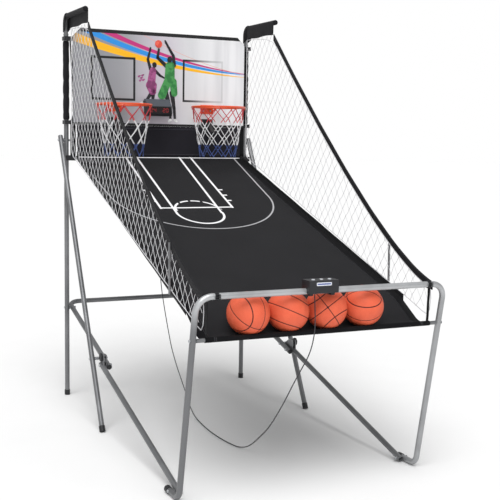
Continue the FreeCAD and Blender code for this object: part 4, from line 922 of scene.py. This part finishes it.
# ---- Net webbing --------------------------------------------------------------------
# Black nylon strap, 34 mm wide, sewn along the sloping front edge of each net with two
# rows of stitches, from the top arm's tip down to the buckled strap on the front bar.
webbing_low, webbing_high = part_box("left_net_webbing")
WEB_PLANE = abs(webbing_low.x + webbing_high.x) / 2
webbing_cloth = Finish("black_webbing", "1a1a1c", {"Specular IOR Level": 0.12, "Sheen Weight": 0.04})
spot, u, v = webbing_cloth.cut()
cloud = webbing_cloth.noise(spot, 40.0, 4.0)
ribs = woven(u, v, 0.0024)
rows = (abs(v - 0.0035).lesser(abs(v - 0.0305)) < 0.0006) * ((u % 0.005) < 0.0035)
webbing_cloth.feed("Base Color",
                   webbing_cloth.mix(rows * 0.6, webbing_cloth.mix(cloud, "131315", "232326"), "55555a"))
webbing_cloth.feed("Roughness", 0.6 + cloud * 0.2)
webbing_cloth.raised(ribs * 0.7 + rows * 1.2 + cloud * 0.5, 0.0003)
for name, side in (("left", -1), ("right", 1)):
    strap_mesh = bmesh.new()
    run_u = strap_mesh.verts.layers.float.new("run_u")
    verts, run = [], 0.0
    for index in range(61):
        py, pz = web_at(index / 60)
        if verts:
            run += hypot(py - verts[-1].co.y, pz - verts[-1].co.z)
        flutter = 0.0005 * sin(index * 0.7)
        verts.append(strap_mesh.verts.new((side * (WEB_PLANE + flutter), py, pz)))
        verts[-1][run_u] = run
    edges = [strap_mesh.edges.new(pair) for pair in zip(verts, verts[1:])]
    bmesh.ops.spin(strap_mesh, geom=verts + edges, cent=(0, 0, 0), axis=(1, 0, 0),
                   dvec=(0, 0, -WEB_WIDTH / 4), angle=0.0,
                   steps=4, use_duplicate=False)
    bmesh.ops.recalc_face_normals(strap_mesh, faces=strap_mesh.faces)
    cloth_area = sum(face.calc_area() for face in strap_mesh.faces)
    lay_flat(strap_mesh, lambda vert: (vert[run_u], web_height(vert.co.y) - vert.co.z))
    strap = piece(name + "_webbing_strap", strap_mesh, webbing_cloth, None,
                  [name + "_net_webbing"])
    wall = strap.modifiers.new("wall", "SOLIDIFY")
    wall.thickness, wall.offset = 0.0050, 0.0
    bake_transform(strap)
    cloth_area / run

# ---- Arm sleeves --------------------------------------------------------------------
# Black cloth casing sewn round each top arm, with a stitched flap below it that carries
# the head of the net. The tip is closed and a little gathered.
sleeve_cloth = woven_black("black_sleeve_cloth", "17171a", "2a2a2d", 0.0018, 0.05)
for name, side in (("left", -1), ("right", 1)):
    low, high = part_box(name + "_arm_sleeve")
    arm_x, arm_z = side * 0.526, high.z - 0.0138
    sleeve_mesh = bmesh.new()
    section = [(-side * 0.0126, low.z - arm_z), (-side * 0.0126, (low.z - arm_z) * 0.66),
               (-side * 0.0126, (low.z - arm_z) * 0.30)]
    section += [(-side * 0.0128 * cos(radians(t)), 0.0128 * sin(radians(t))) for t in range(0, 316, 15)]
    verts = [sleeve_mesh.verts.new((arm_x + px, high.y, arm_z + pz)) for px, pz in section]
    edges = [sleeve_mesh.edges.new(pair) for pair in zip(verts, verts[1:])]
    bmesh.ops.spin(sleeve_mesh, geom=verts + edges, cent=(0, 0, 0), axis=(1, 0, 0),
                   dvec=(0, -(high.y - low.y) / 28, 0), angle=0.0, steps=28, use_duplicate=False)
    for vert in sleeve_mesh.verts:
        down = max(0.0, arm_z - vert.co.z - 0.012) / 0.054
        vert.co.x += side * 0.0012 * down * sin(47 * vert.co.y + 2.0)
        vert.co.z += 0.0022 * down * sin(31 * vert.co.y)
    bmesh.ops.recalc_face_normals(sleeve_mesh, faces=sleeve_mesh.faces)
    sleeve = piece(name + "_arm_sleeve_cloth", sleeve_mesh, sleeve_cloth, "root",
                   [name + "_arm_sleeve"], 60.0)
    wall = sleeve.modifiers.new("wall", "SOLIDIFY")
    wall.thickness, wall.offset = 0.0018, 0.0
    soften = sleeve.modifiers.new("soften", "SUBSURF")
    soften.levels = soften.render_levels = 1
    cap_mesh = bmesh.new()
    bmesh.ops.create_uvsphere(cap_mesh, u_segments=28, v_segments=14, radius=0.0130,
                              matrix=Matrix.Translation((arm_x, low.y + 0.0052, arm_z))
                              @ Matrix.Rotation(pi / 2, 4, "X")
                              @ Matrix.Diagonal((1.0, 1.0, 0.38, 1.0)))
    piece(name + "_arm_sleeve_tip", cap_mesh, sleeve_cloth, "root")

# The casing's heel covers the bend above the upright: two cheeks joined over the back,
# open below and in front.
for name, side in (("left", -1), ("right", 1)):
    low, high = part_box(name + "_arm_sleeve")
    arm_x, arm_z, bend, reach = side * 0.526, high.z - 0.0138, 0.040, 0.0134
    heel_mesh = bmesh.new()
    outline = [(-bend - 0.002, low.z), (reach, low.z - 0.016)]
    outline += [(-bend + (bend + reach) * cos(radians(t)), arm_z - bend + (bend + reach) * sin(radians(t)))
                for t in range(0, 91, 10)]
    outline.append((-bend - 0.002, arm_z + reach))
    cheek = heel_mesh.faces.new([heel_mesh.verts.new((arm_x - reach, BACK + py, pz)) for py, pz in outline])
    other = bmesh.ops.extrude_face_region(heel_mesh, geom=[cheek])["geom"]
    bmesh.ops.translate(heel_mesh, verts=[g for g in other if isinstance(g, bmesh.types.BMVert)],
                        vec=(2 * reach, 0.0, 0.0))
    bmesh.ops.recalc_face_normals(heel_mesh, faces=heel_mesh.faces)
    mouth = [f for f in heel_mesh.faces if (f.normal.z < -0.5 or f.normal.y < -0.9) and abs(f.normal.x) < 0.5]
    bmesh.ops.delete(heel_mesh, geom=mouth, context="FACES_ONLY")
    over = [e for e in heel_mesh.edges if len(e.link_faces) == 2
            and abs(e.calc_face_angle(0.0) - pi / 2) < 0.1]
    round_edges(heel_mesh, over, 0.006, 3)
    cloth_area = sum(face.calc_area() for face in heel_mesh.faces)
    heel = piece(name + "_arm_sleeve_heel", heel_mesh, sleeve_cloth, "root", (), 60.0)
    wall = heel.modifiers.new("wall", "SOLIDIFY")
    wall.thickness, wall.offset = 0.0016, 0.0
    cloth_area / 0.110

# ---- Upright sleeves ----------------------------------------------------------------
# Foam tube in black cloth round the top of each upright, drawn in at both ends by a hem
# with elastic, and slightly creased where it has been squeezed.
pad_low, pad_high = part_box("upright_sleeves")
for name, side in (("left", -1), ("right", 1)):
    pad_mesh = bmesh.new()
    long = pad_high.z - pad_low.z - 0.002
    stations = [(0.0128, 0.0), (0.0146, 0.0004), (0.0158, 0.0030)]
    stations += [(0.0166 + 0.0004 * sin(t * 0.9) - 0.0012 * abs(sin(t * 0.39)) ** 12, long * t / 40)
                 for t in range(1, 40)]
    stations += [(0.0158, long - 0.0030), (0.0146, long - 0.0004), (0.0128, long)]
    verts = [pad_mesh.verts.new((radius, 0.0, pad_low.z + 0.001 + height)) for radius, height in stations]
    edges = [pad_mesh.edges.new(pair) for pair in zip(verts, verts[1:] + verts[:1])]
    bmesh.ops.spin(pad_mesh, geom=verts + edges, cent=(0, 0, 0), axis=(0, 0, 1), angle=2 * pi, steps=32,
                   use_merge=True, use_duplicate=False)
    for vert in pad_mesh.verts:
        turn = atan2(vert.co.y, vert.co.x)
        out = hypot(vert.co.x, vert.co.y)
        if out > 0.0150:
            seam = 0.0010 if abs(turn - pi / 2) < 0.11 else 0.0
            dent = 0.0004 * sin(3 * turn + 60 * vert.co.z) - seam
            vert.co.x *= 1 + dent / out
            vert.co.y *= 1 + dent / out
    bmesh.ops.translate(pad_mesh, verts=pad_mesh.verts, vec=(side * 0.526, BACK, 0.0))
    bmesh.ops.recalc_face_normals(pad_mesh, faces=pad_mesh.faces)
    made = piece(name + "_upright_pad", pad_mesh, sleeve_cloth, "root",
                 ["upright_sleeves"] if side < 0 else (), 60.0)

# ---- Balls --------------------------------------------------------------------------
# Four mini basketballs in moulded orange rubber, with pebbled panels and dark grooves.
# Each lies turned its own way in the trough, with the valve somewhere on a seam.
SEAM = 0.021                                          # half width of a groove, on a ball of radius 1
ball_rubber = Finish("pebbled_orange_rubber", "ee6844", {"Specular IOR Level": 0.4})
way = ball_rubber.node("Attribute", {"attribute_name": "panel_way"}, out="Vector")
px, py, pz = ball_rubber.axes(way)
belt = abs((abs(px) - (0.56 + pz * pz * 0.16)) * 0.85)
groove = abs(pz).lesser(abs(px)).lesser(belt)
seam_mask = 1.0 - ball_rubber.fade(groove, SEAM * 0.75, SEAM * 1.10)
valve = (1.0 - ball_rubber.fade(abs(py + 1.0) * 12.0 + abs(px) * 8.0 + abs(pz) * 8.0, 0.5, 0.7))
pebble = ball_rubber.node("TexVoronoi", {"feature": "F1"}, {"Vector": way, "Scale": 46.0})
bump_top = 1.0 - ball_rubber.fade(pebble, 0.15, 0.55)
cloud = ball_rubber.noise(way, 3.0, 4.0)
rubber = ball_rubber.mix(cloud * 0.7 + bump_top * 0.3, "d9573a", "f2714c")
dirt = ball_rubber.fade(ball_rubber.noise(way, 9.0, 5.0, 0.7), 0.60, 0.80)
rubber = ball_rubber.mix(dirt * 0.22, rubber, "a8402c")
ball_rubber.feed("Base Color", ball_rubber.mix(seam_mask.greater(valve), rubber, "4a1512"))
ball_rubber.feed("Roughness", 0.46 + cloud * 0.12 - bump_top * 0.08 + seam_mask * 0.18)
ball_rubber.raised(bump_top * (1.0 - seam_mask) - seam_mask * 0.6, 0.0006, 0.8)
BALL_TURNS = [(35, 20, 15), (70, -35, 60), (20, 50, -40), (-50, 25, 75)]
for number, turns in enumerate(BALL_TURNS, 1):
    node = "ball_%d" % number
    centre = middle_of(node)
    radius = (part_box(node)[1].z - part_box(node)[0].z) / 2
    ball_mesh = bmesh.new()
    bmesh.ops.create_icosphere(ball_mesh, subdivisions=6, radius=1.0)
    panel_way = ball_mesh.verts.layers.float_vector.new("panel_way")
    spin = (Matrix.Rotation(radians(turns[0]), 3, "X") @ Matrix.Rotation(radians(turns[1]), 3, "Y")
            @ Matrix.Rotation(radians(turns[2]), 3, "Z"))
    for vert in ball_mesh.verts:
        way_out = vert.co.normalized()
        vert[panel_way] = way_out
        gap = min(abs(way_out.z), abs(way_out.x), abs(abs(way_out.x) - (0.56 + 0.16 * way_out.z ** 2)) * 0.85)
        sunk = 0.0013 * max(0.0, 1.0 - gap / (SEAM * 1.5))
        vert.co = centre + spin @ (way_out * (radius - sunk))
    bmesh.ops.recalc_face_normals(ball_mesh, faces=ball_mesh.faces)
    piece("mini_ball_%d" % number, ball_mesh, ball_rubber, node, [node], 180.0)

# ---- Scoreboard ---------------------------------------------------------------------
# Moulded ABS case with a sloping hood, screwed below the printed players. A dark window
# in its face covers two pairs of red seven-bar digits.
def moulded(name, dull, bright, roughness=0.42, grain=900.0):
    """Moulded plastic with a fine spark-eroded grain and faint rubbing on its faces."""
    finish = Finish(name, dull, {"Specular IOR Level": 0.45})
    spot, x, y, z = finish.place()
    cloud, pits = finish.noise(spot, 18.0, 4.0), finish.noise(spot, grain, 2.0)
    scuff = finish.fade(finish.noise(spot, 90.0, 5.0, 0.75), 0.66, 0.76)
    finish.feed("Base Color", finish.mix(scuff * 0.3, finish.mix(cloud, dull, bright), "77787c"))
    finish.feed("Roughness", roughness + cloud * 0.10 + scuff * 0.12)
    finish.raised(pits * 0.7 + cloud * 0.4, 0.00012)
    return finish


case_plastic = Finish("score_case_abs", "3d4148", {"Specular IOR Level": 0.45})
spot, x, y, z = case_plastic.place()
cloud = case_plastic.noise(spot, 18.0, 4.0)
hood = case_plastic.fade(z, 1.583, 1.586)
case_plastic.feed("Base Color", case_plastic.mix(hood, "16171b", case_plastic.mix(cloud, "3d4048", "4a4e57")))
case_plastic.feed("Roughness", 0.40 + cloud * 0.12)
case_plastic.raised(case_plastic.noise(spot, 900.0, 2.0), 0.00012)
coat(case_plastic, "scoreboard_case")
window_plastic = moulded("smoked_window", "160a0e", "220d12", 0.12, 60.0)
coat(window_plastic, "scoreboard_window")
lit_bar = Finish("lit_red_bar", "d81f26", {"Roughness": 0.35, "Emission Strength": 0.5})
spot, x, y, z = lit_bar.place()
glow = lit_bar.mix(lit_bar.noise(spot, 600.0), "8c1218", "b41e24")
lit_bar.feed("Base Color", glow)
lit_bar.feed("Emission Color", glow)
window_low, window_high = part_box("scoreboard_window")
BARS = {"0": "abcdef", "2": "abged", "4": "fgbc"}
BAR_PLACES = {"a": (0, 1, 1), "d": (0, -1, 1), "g": (0, 0, 1), "f": (-1, 0.5, 0), "e": (-1, -0.5, 0),
              "b": (1, 0.5, 0), "c": (1, -0.5, 0)}
digits_mesh = bmesh.new()
digit_half = (0.0058, 0.0098)
middle_z = (window_low.z + window_high.z) / 2
for number, offset in (("2", -0.044), ("4", -0.026), ("2", 0.026), ("0", 0.044)):
    for bar in BARS[number]:
        across, up, level = BAR_PLACES[bar]
        size = (0.0088, 0.0004, 0.0020) if level else (0.0020, 0.0004, 0.0080)
        centre = Vector(((window_low.x + window_high.x) / 2 + offset + across * digit_half[0],
                         window_low.y - 0.0003,
                         middle_z + up * digit_half[1]))
        made = bmesh.ops.create_cube(digits_mesh, size=1.0, matrix=Matrix.Translation(centre)
                                     @ Matrix.Diagonal((*size, 1.0)))
        edges = [e for e in digits_mesh.edges if e.verts[0] in made["verts"]]
        round_edges(digits_mesh, edges, 0.00013, 1)
piece("score_digits", digits_mesh, lit_bar, "root")
black_plastic = moulded("black_nylon", "17181a", "232427", 0.44)
coat(black_plastic, "scoreboard_gland", "rear_foot_caps", "front_foot_caps", "lower_arm_plugs",
     "frame_clamps",
     "control_box_clips")
coat(rear_coat, "stay_posts")

# ---- Hoop sensors -------------------------------------------------------------------
# Black switch housings under the rims, each with a hinged paddle that a falling ball
# pushes down.
sensor_plastic = moulded("sensor_abs", "141416", "1f2023", 0.36)
coat(sensor_plastic, "left_sensor_box", "right_sensor_box", "left_score_paddle", "right_score_paddle")

# ---- Bolts --------------------------------------------------------------------------
# Zinc plated carriage bolts with low domed heads, washers and hexagon nuts, through the
# frame's joints, and smaller ones with pan heads that hold the rims to their rails.
zinc = Finish("bright_zinc", "c0c2c6", {"Metallic": 1.0})
spot, x, y, z = zinc.place()
spangle, rub = zinc.noise(spot, 160.0, 3.0), zinc.noise(spot, 30.0, 4.0)
zinc.feed("Base Color", zinc.mix(spangle * 0.5 + rub * 0.5, "8f9296", "cfd1d4"))
zinc.feed("Roughness", 0.24 + spangle * 0.16 + rub * 0.12)
zinc.raised(spangle, 0.0001)


def lying(place, way):
    """Matrix that lays a shape made along Z at a place, pointing along X or Y either way."""
    return Matrix.Translation(place) @ Vector(way).to_track_quat("Z", "X").to_matrix().to_4x4()


def bolt(mesh, head, nut, width, head_width, nut_width):
    """One bolt from the face under its head to the face under its nut."""
    head, nut = Vector(head), Vector(nut)
    way = (nut - head).normalized()
    length = (nut - head).length
    mid = (head + nut) / 2
    bmesh.ops.create_cone(mesh, cap_ends=True, segments=20, radius1=width / 2, radius2=width / 2,
                          depth=length + 0.001,
                          matrix=lying(mid, way))
    dome = bmesh.new()
    bmesh.ops.create_uvsphere(dome, u_segments=28, v_segments=14, radius=head_width / 2)
    bmesh.ops.bisect_plane(dome, geom=dome.verts[:] + dome.edges[:] + dome.faces[:], plane_co=(0, 0, 0),
                           plane_no=(0, 0, 1), clear_outer=True)
    bmesh.ops.holes_fill(dome, edges=dome.edges[:], sides=0)
    bmesh.ops.scale(dome, verts=dome.verts, vec=(1.0, 1.0, 0.0047 / (head_width / 2)))
    bmesh.ops.transform(dome, verts=dome.verts, matrix=lying(head, way))
    part = bpy.data.meshes.new("dome")
    dome.to_mesh(part)
    mesh.from_mesh(part)
    hexagon = bmesh.new()
    bmesh.ops.create_cone(hexagon, cap_ends=True, segments=6, radius1=nut_width / 2, radius2=nut_width / 2,
                          depth=0.0048, matrix=Matrix.Translation((0, 0, 0.0038)))
    round_edges(hexagon, hexagon.edges[:], 0.0006, 2)
    for radius, deep, at in ((nut_width / 2, 0.0013, 0.00065), (width / 2, 0.0064, 0.0032)):
        bmesh.ops.create_cone(hexagon, cap_ends=True, segments=24, radius1=radius, radius2=radius * 0.96,
                              depth=deep,
                              matrix=Matrix.Translation((0, 0, at)))
    bmesh.ops.transform(hexagon, verts=hexagon.verts, matrix=lying(nut, way))
    hexagon.to_mesh(part)
    mesh.from_mesh(part)
    dome.free()
    hexagon.free()
    bpy.data.meshes.remove(part)


def spacer(mesh, start, end, width):
    """A short round spacer on a bolt, between two tubes."""
    start, end = Vector(start), Vector(end)
    bmesh.ops.create_cone(mesh, cap_ends=True, segments=28, radius1=width / 2, radius2=width / 2,
                          depth=(end - start).length, matrix=lying((start + end) / 2, end - start))


LEG_X, POST_X, ARM_X, FRONT_LEG_X, TUBE_R, GAP = 0.555, 0.526, 0.497, 0.5533, 0.0125, 0.0003
LEG_TOP_Z, LEG_REACH = 1.393, 0.759
ARM_PIVOT_Z, LOWER_SLOPE = 0.485, 0.277
FOOT_BOLT_REACH = 1.676
RIM_X, RIM_BOLT_Z = 0.270, 1.568
FRAME_BOLT = (0.008, 0.015, 0.0138)     # across the shank, the head and the nut
ROD_BOLT = (0.008, 0.014, 0.0078)
RIM_BOLT = (0.006, 0.011, 0.0108)
leg_slope = LEG_TOP_Z / LEG_REACH
cross_y = BACK + (ARM_PIVOT_Z - LEG_TOP_Z) / (leg_slope - LOWER_SLOPE)
cross_z = ARM_PIVOT_Z + LOWER_SLOPE * (cross_y - BACK)
fold_at = middle_of("fold_pins")
foot_bolt_z = ARM_PIVOT_Z - LOWER_SLOPE * FOOT_BOLT_REACH - 0.003
rear_mesh, fold_mesh, front_mesh, rim_mesh = bmesh.new(), bmesh.new(), bmesh.new(), bmesh.new()
for side in (-1, 1):
    leg_out, post_in = side * (LEG_X + TUBE_R + GAP), side * (POST_X - TUBE_R - GAP)
    arm_in, post_out = side * (ARM_X - TUBE_R - GAP), side * (POST_X + TUBE_R + GAP)
    bolt(rear_mesh, (leg_out, BACK, LEG_TOP_Z), (post_in, BACK, LEG_TOP_Z), *FRAME_BOLT)
    spacer(rear_mesh, (post_out, BACK, LEG_TOP_Z), (side * (LEG_X - TUBE_R - GAP), BACK, LEG_TOP_Z), 0.020)
    bolt(rear_mesh, (post_out, BACK, ARM_PIVOT_Z), (arm_in, BACK, ARM_PIVOT_Z), *FRAME_BOLT)
    spacer(rear_mesh, (side * (ARM_X + TUBE_R + GAP), BACK, ARM_PIVOT_Z), (post_in, BACK, ARM_PIVOT_Z), 0.020)
    bolt(rear_mesh, (leg_out, cross_y, cross_z), (arm_in, cross_y, cross_z), *FRAME_BOLT)
    spacer(rear_mesh, (side * (ARM_X + TUBE_R + GAP), cross_y, cross_z),
           (side * (LEG_X - TUBE_R - GAP), cross_y, cross_z), 0.016)
    bolt(fold_mesh, (post_out, fold_at.y, fold_at.z), (arm_in, fold_at.y, fold_at.z), *FRAME_BOLT)
    leg_face = side * (FRONT_LEG_X + TUBE_R + GAP)
    bolt(front_mesh, (leg_face, BACK - FOOT_BOLT_REACH, foot_bolt_z),
         (post_in, BACK - FOOT_BOLT_REACH, foot_bolt_z), *FRAME_BOLT)
    bolt(front_mesh, (leg_face, front_rod.y, front_rod.z),
         (side * (FRONT_LEG_X - TUBE_R - 0.036), front_rod.y, front_rod.z), *ROD_BOLT)
    for dx in (-0.022, 0.022):
        bolt(rim_mesh, (side * RIM_X + dx, board_low.y - 0.0046, RIM_BOLT_Z),
             (side * RIM_X + dx, board_low.y + 0.0146, RIM_BOLT_Z),
             *RIM_BOLT)
for name, mesh, body, node in (("rear_bolt_set", rear_mesh, "root", "rear_bolts"),
                               ("fold_bolt_set", fold_mesh, "root", "fold_pins"),
                               ("front_bolt_set", front_mesh, "front_frame", "front_bolts"),
                               ("rim_bolt_set", rim_mesh, "root", "rim_bolts")):
    piece(name, mesh, zinc, body, [node], 30.0)

# ---- Lock knobs ---------------------------------------------------------------------
# Black nylon star knobs with eight soft lobes and a pressed-in cap. Each one's threaded
# stud passes the lug and bears on the fold plate.
LUG_FACE = 0.5132
for name, side in (("left", -1), ("right", 1)):
    node = name + "_lock_knob"
    low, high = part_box(node)
    centre = middle_of(node)
    face_out = high.x if side > 0 else low.x
    knob_mesh = bmesh.new()
    bmesh.ops.create_circle(knob_mesh, cap_ends=True, segments=96, radius=0.0205)
    for vert in knob_mesh.verts:
        turn = atan2(vert.co.y, vert.co.x)
        vert.co *= 1.0 - 0.085 * (0.5 - 0.5 * cos(8 * turn + pi)) ** 1.3
    top = bmesh.ops.extrude_face_region(knob_mesh, geom=knob_mesh.faces[:])["geom"]
    bmesh.ops.translate(knob_mesh, verts=[g for g in top if isinstance(g, bmesh.types.BMVert)],
                        vec=(0, 0, 0.0106))
    bmesh.ops.recalc_face_normals(knob_mesh, faces=knob_mesh.faces)
    rim_edges = [e for e in knob_mesh.edges if e.calc_face_angle(0.0) > 1.2]
    round_edges(knob_mesh, rim_edges, 0.0018, 4)
    bmesh.ops.create_cone(knob_mesh, cap_ends=True, segments=40, radius1=0.0100, radius2=0.0092, depth=0.0016,
                          matrix=Matrix.Translation((0, 0, 0.0104)))
    length = abs(face_out) - 0.0109 - LUG_FACE
    bmesh.ops.create_cone(knob_mesh, cap_ends=True, segments=20, radius1=0.0039, radius2=0.0039, depth=length,
                          matrix=Matrix.Translation((0, 0, -length / 2)))
    seat = Vector((face_out - side * 0.0112, centre.y, centre.z))
    bmesh.ops.transform(knob_mesh, verts=knob_mesh.verts, matrix=lying(seat, (side, 0, 0)))
    piece(name + "_star_knob", knob_mesh, black_plastic, node, [node], 35.0)

# ---- Control box --------------------------------------------------------------------
# Black ABS box that saddles the front bar: lid with three push buttons, a plain two-tone
# label with no lettering, and a circuit board inside.
coat(moulded("control_box_abs", "18191c", "242529", 0.40), "control_box_base", "control_box_lid")
button_plastic = moulded("grey_button_pc", "c9ccd2", "dcdfe4", 0.28, 500.0)
coat(button_plastic, "power_button", "mode_button", "start_button")
circuit = Finish("green_laminate", "1d5a35", {"Specular IOR Level": 0.5})
spot, x, y, z = circuit.place()
tracks = ((x * 900.0).wave() * (y * 700.0).wave()) > 0.55
circuit.feed("Base Color",
             circuit.mix(tracks, circuit.mix(circuit.noise(spot, 90.0), "174d2c", "22683d"), "8f9a5c"))
circuit.feed("Roughness", 0.34 + tracks * 0.12)
coat(circuit, "control_board")
box_low, box_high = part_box("control_box_base")
label_mesh = bmesh.new()
bmesh.ops.create_cube(label_mesh, size=1.0, matrix=Matrix.Diagonal((0.066, 0.0006, 0.013, 1.0)))
corner_edges = [e for e in label_mesh.edges if abs((e.verts[0].co - e.verts[1].co).y) > 0.0003]
round_edges(label_mesh, corner_edges, 0.003, 4)
bmesh.ops.translate(label_mesh, verts=label_mesh.verts,
                    vec=((box_low.x + box_high.x) / 2, box_low.y + 0.0001, box_low.z + 0.036))
label = Finish("two_tone_label", "dfe3ea", {"Specular IOR Level": 0.5, "Coat Weight": 0.3})
spot, x, y, z = label.place()
centre_x, centre_z = (box_low.x + box_high.x) / 2, box_low.z + 0.036
inner = (0.0295 - abs(x - centre_x)).lesser(0.0028 - abs(z - centre_z)) > 0.0
label.feed("Base Color", label.mix(inner, "d3d7e0", label.mix(label.noise(spot, 60.0), "41508c", "55639c")))
label.feed("Roughness", 0.30 + label.noise(spot, 60.0) * 0.12)
piece("control_box_label", label_mesh, label, "front_frame")

# ---- Bar straps ---------------------------------------------------------------------
# Nylon strap wrapped twice round each end of the front bar and drawn tight in a nylon
# ladder buckle. It holds the foot of the webbing.
bar = Vector((0.0, BACK - 1.923, 0.833))
for name, side in (("left", -1), ("right", 1)):
    wrap_mesh = bmesh.new()
    band_x = side * 0.474
    profile = [(-0.0078, 0.0130), (-0.0078, 0.0149), (-0.0066, 0.0157), (0.0, 0.0160), (0.0066, 0.0157),
               (0.0078, 0.0149), (0.0078, 0.0130)]
    verts = [wrap_mesh.verts.new((band_x + dx, bar.y, bar.z + radius)) for dx, radius in profile]
    edges = [wrap_mesh.edges.new(pair) for pair in zip(verts, verts[1:] + verts[:1])]
    bmesh.ops.spin(wrap_mesh, geom=verts + edges, cent=bar, axis=(1, 0, 0), angle=2 * pi, steps=48,
                   use_merge=True,
                   use_duplicate=False)
    bmesh.ops.recalc_face_normals(wrap_mesh, faces=wrap_mesh.faces)
    tab_low = Vector((min(band_x - 0.008, side * 0.5090), bar.y + 0.0145, bar.z - 0.0060))
    tab_high = Vector((max(band_x - 0.008, side * 0.5090), bar.y + 0.0168, bar.z + 0.0040))
    made = bmesh.ops.create_cube(wrap_mesh, size=1.0, matrix=Matrix.Translation((tab_low + tab_high) / 2)
                                 @ Matrix.Diagonal((*(tab_high - tab_low), 1.0)))
    tab_edges = [e for e in wrap_mesh.edges if e.verts[0] in made["verts"] and e.verts[1] in made["verts"]]
    round_edges(wrap_mesh, tab_edges, 0.0006, 2)
    piece(name + "_bar_strap_band", wrap_mesh, sleeve_cloth, "front_frame",
          ["bar_straps"] if side < 0 else ())
    buckle_mesh = bmesh.new()
    for dz, height in ((-0.0085, 0.0028), (0.0, 0.0024), (0.0085, 0.0028)):
        bmesh.ops.create_cube(buckle_mesh, size=1.0, matrix=Matrix.Translation(
            (band_x, bar.y - 0.0172, bar.z + dz)) @ Matrix.Diagonal((0.0220, 0.0026, height, 1.0)))
    for dx in (-0.0098, 0.0098):
        bmesh.ops.create_cube(buckle_mesh, size=1.0, matrix=Matrix.Translation(
            (band_x + dx, bar.y - 0.0172, bar.z)) @ Matrix.Diagonal((0.0026, 0.0030, 0.0198, 1.0)))
    round_edges(buckle_mesh, buckle_mesh.edges[:], 0.0005, 2)
    piece(name + "_strap_buckle", buckle_mesh, black_plastic, "front_frame")
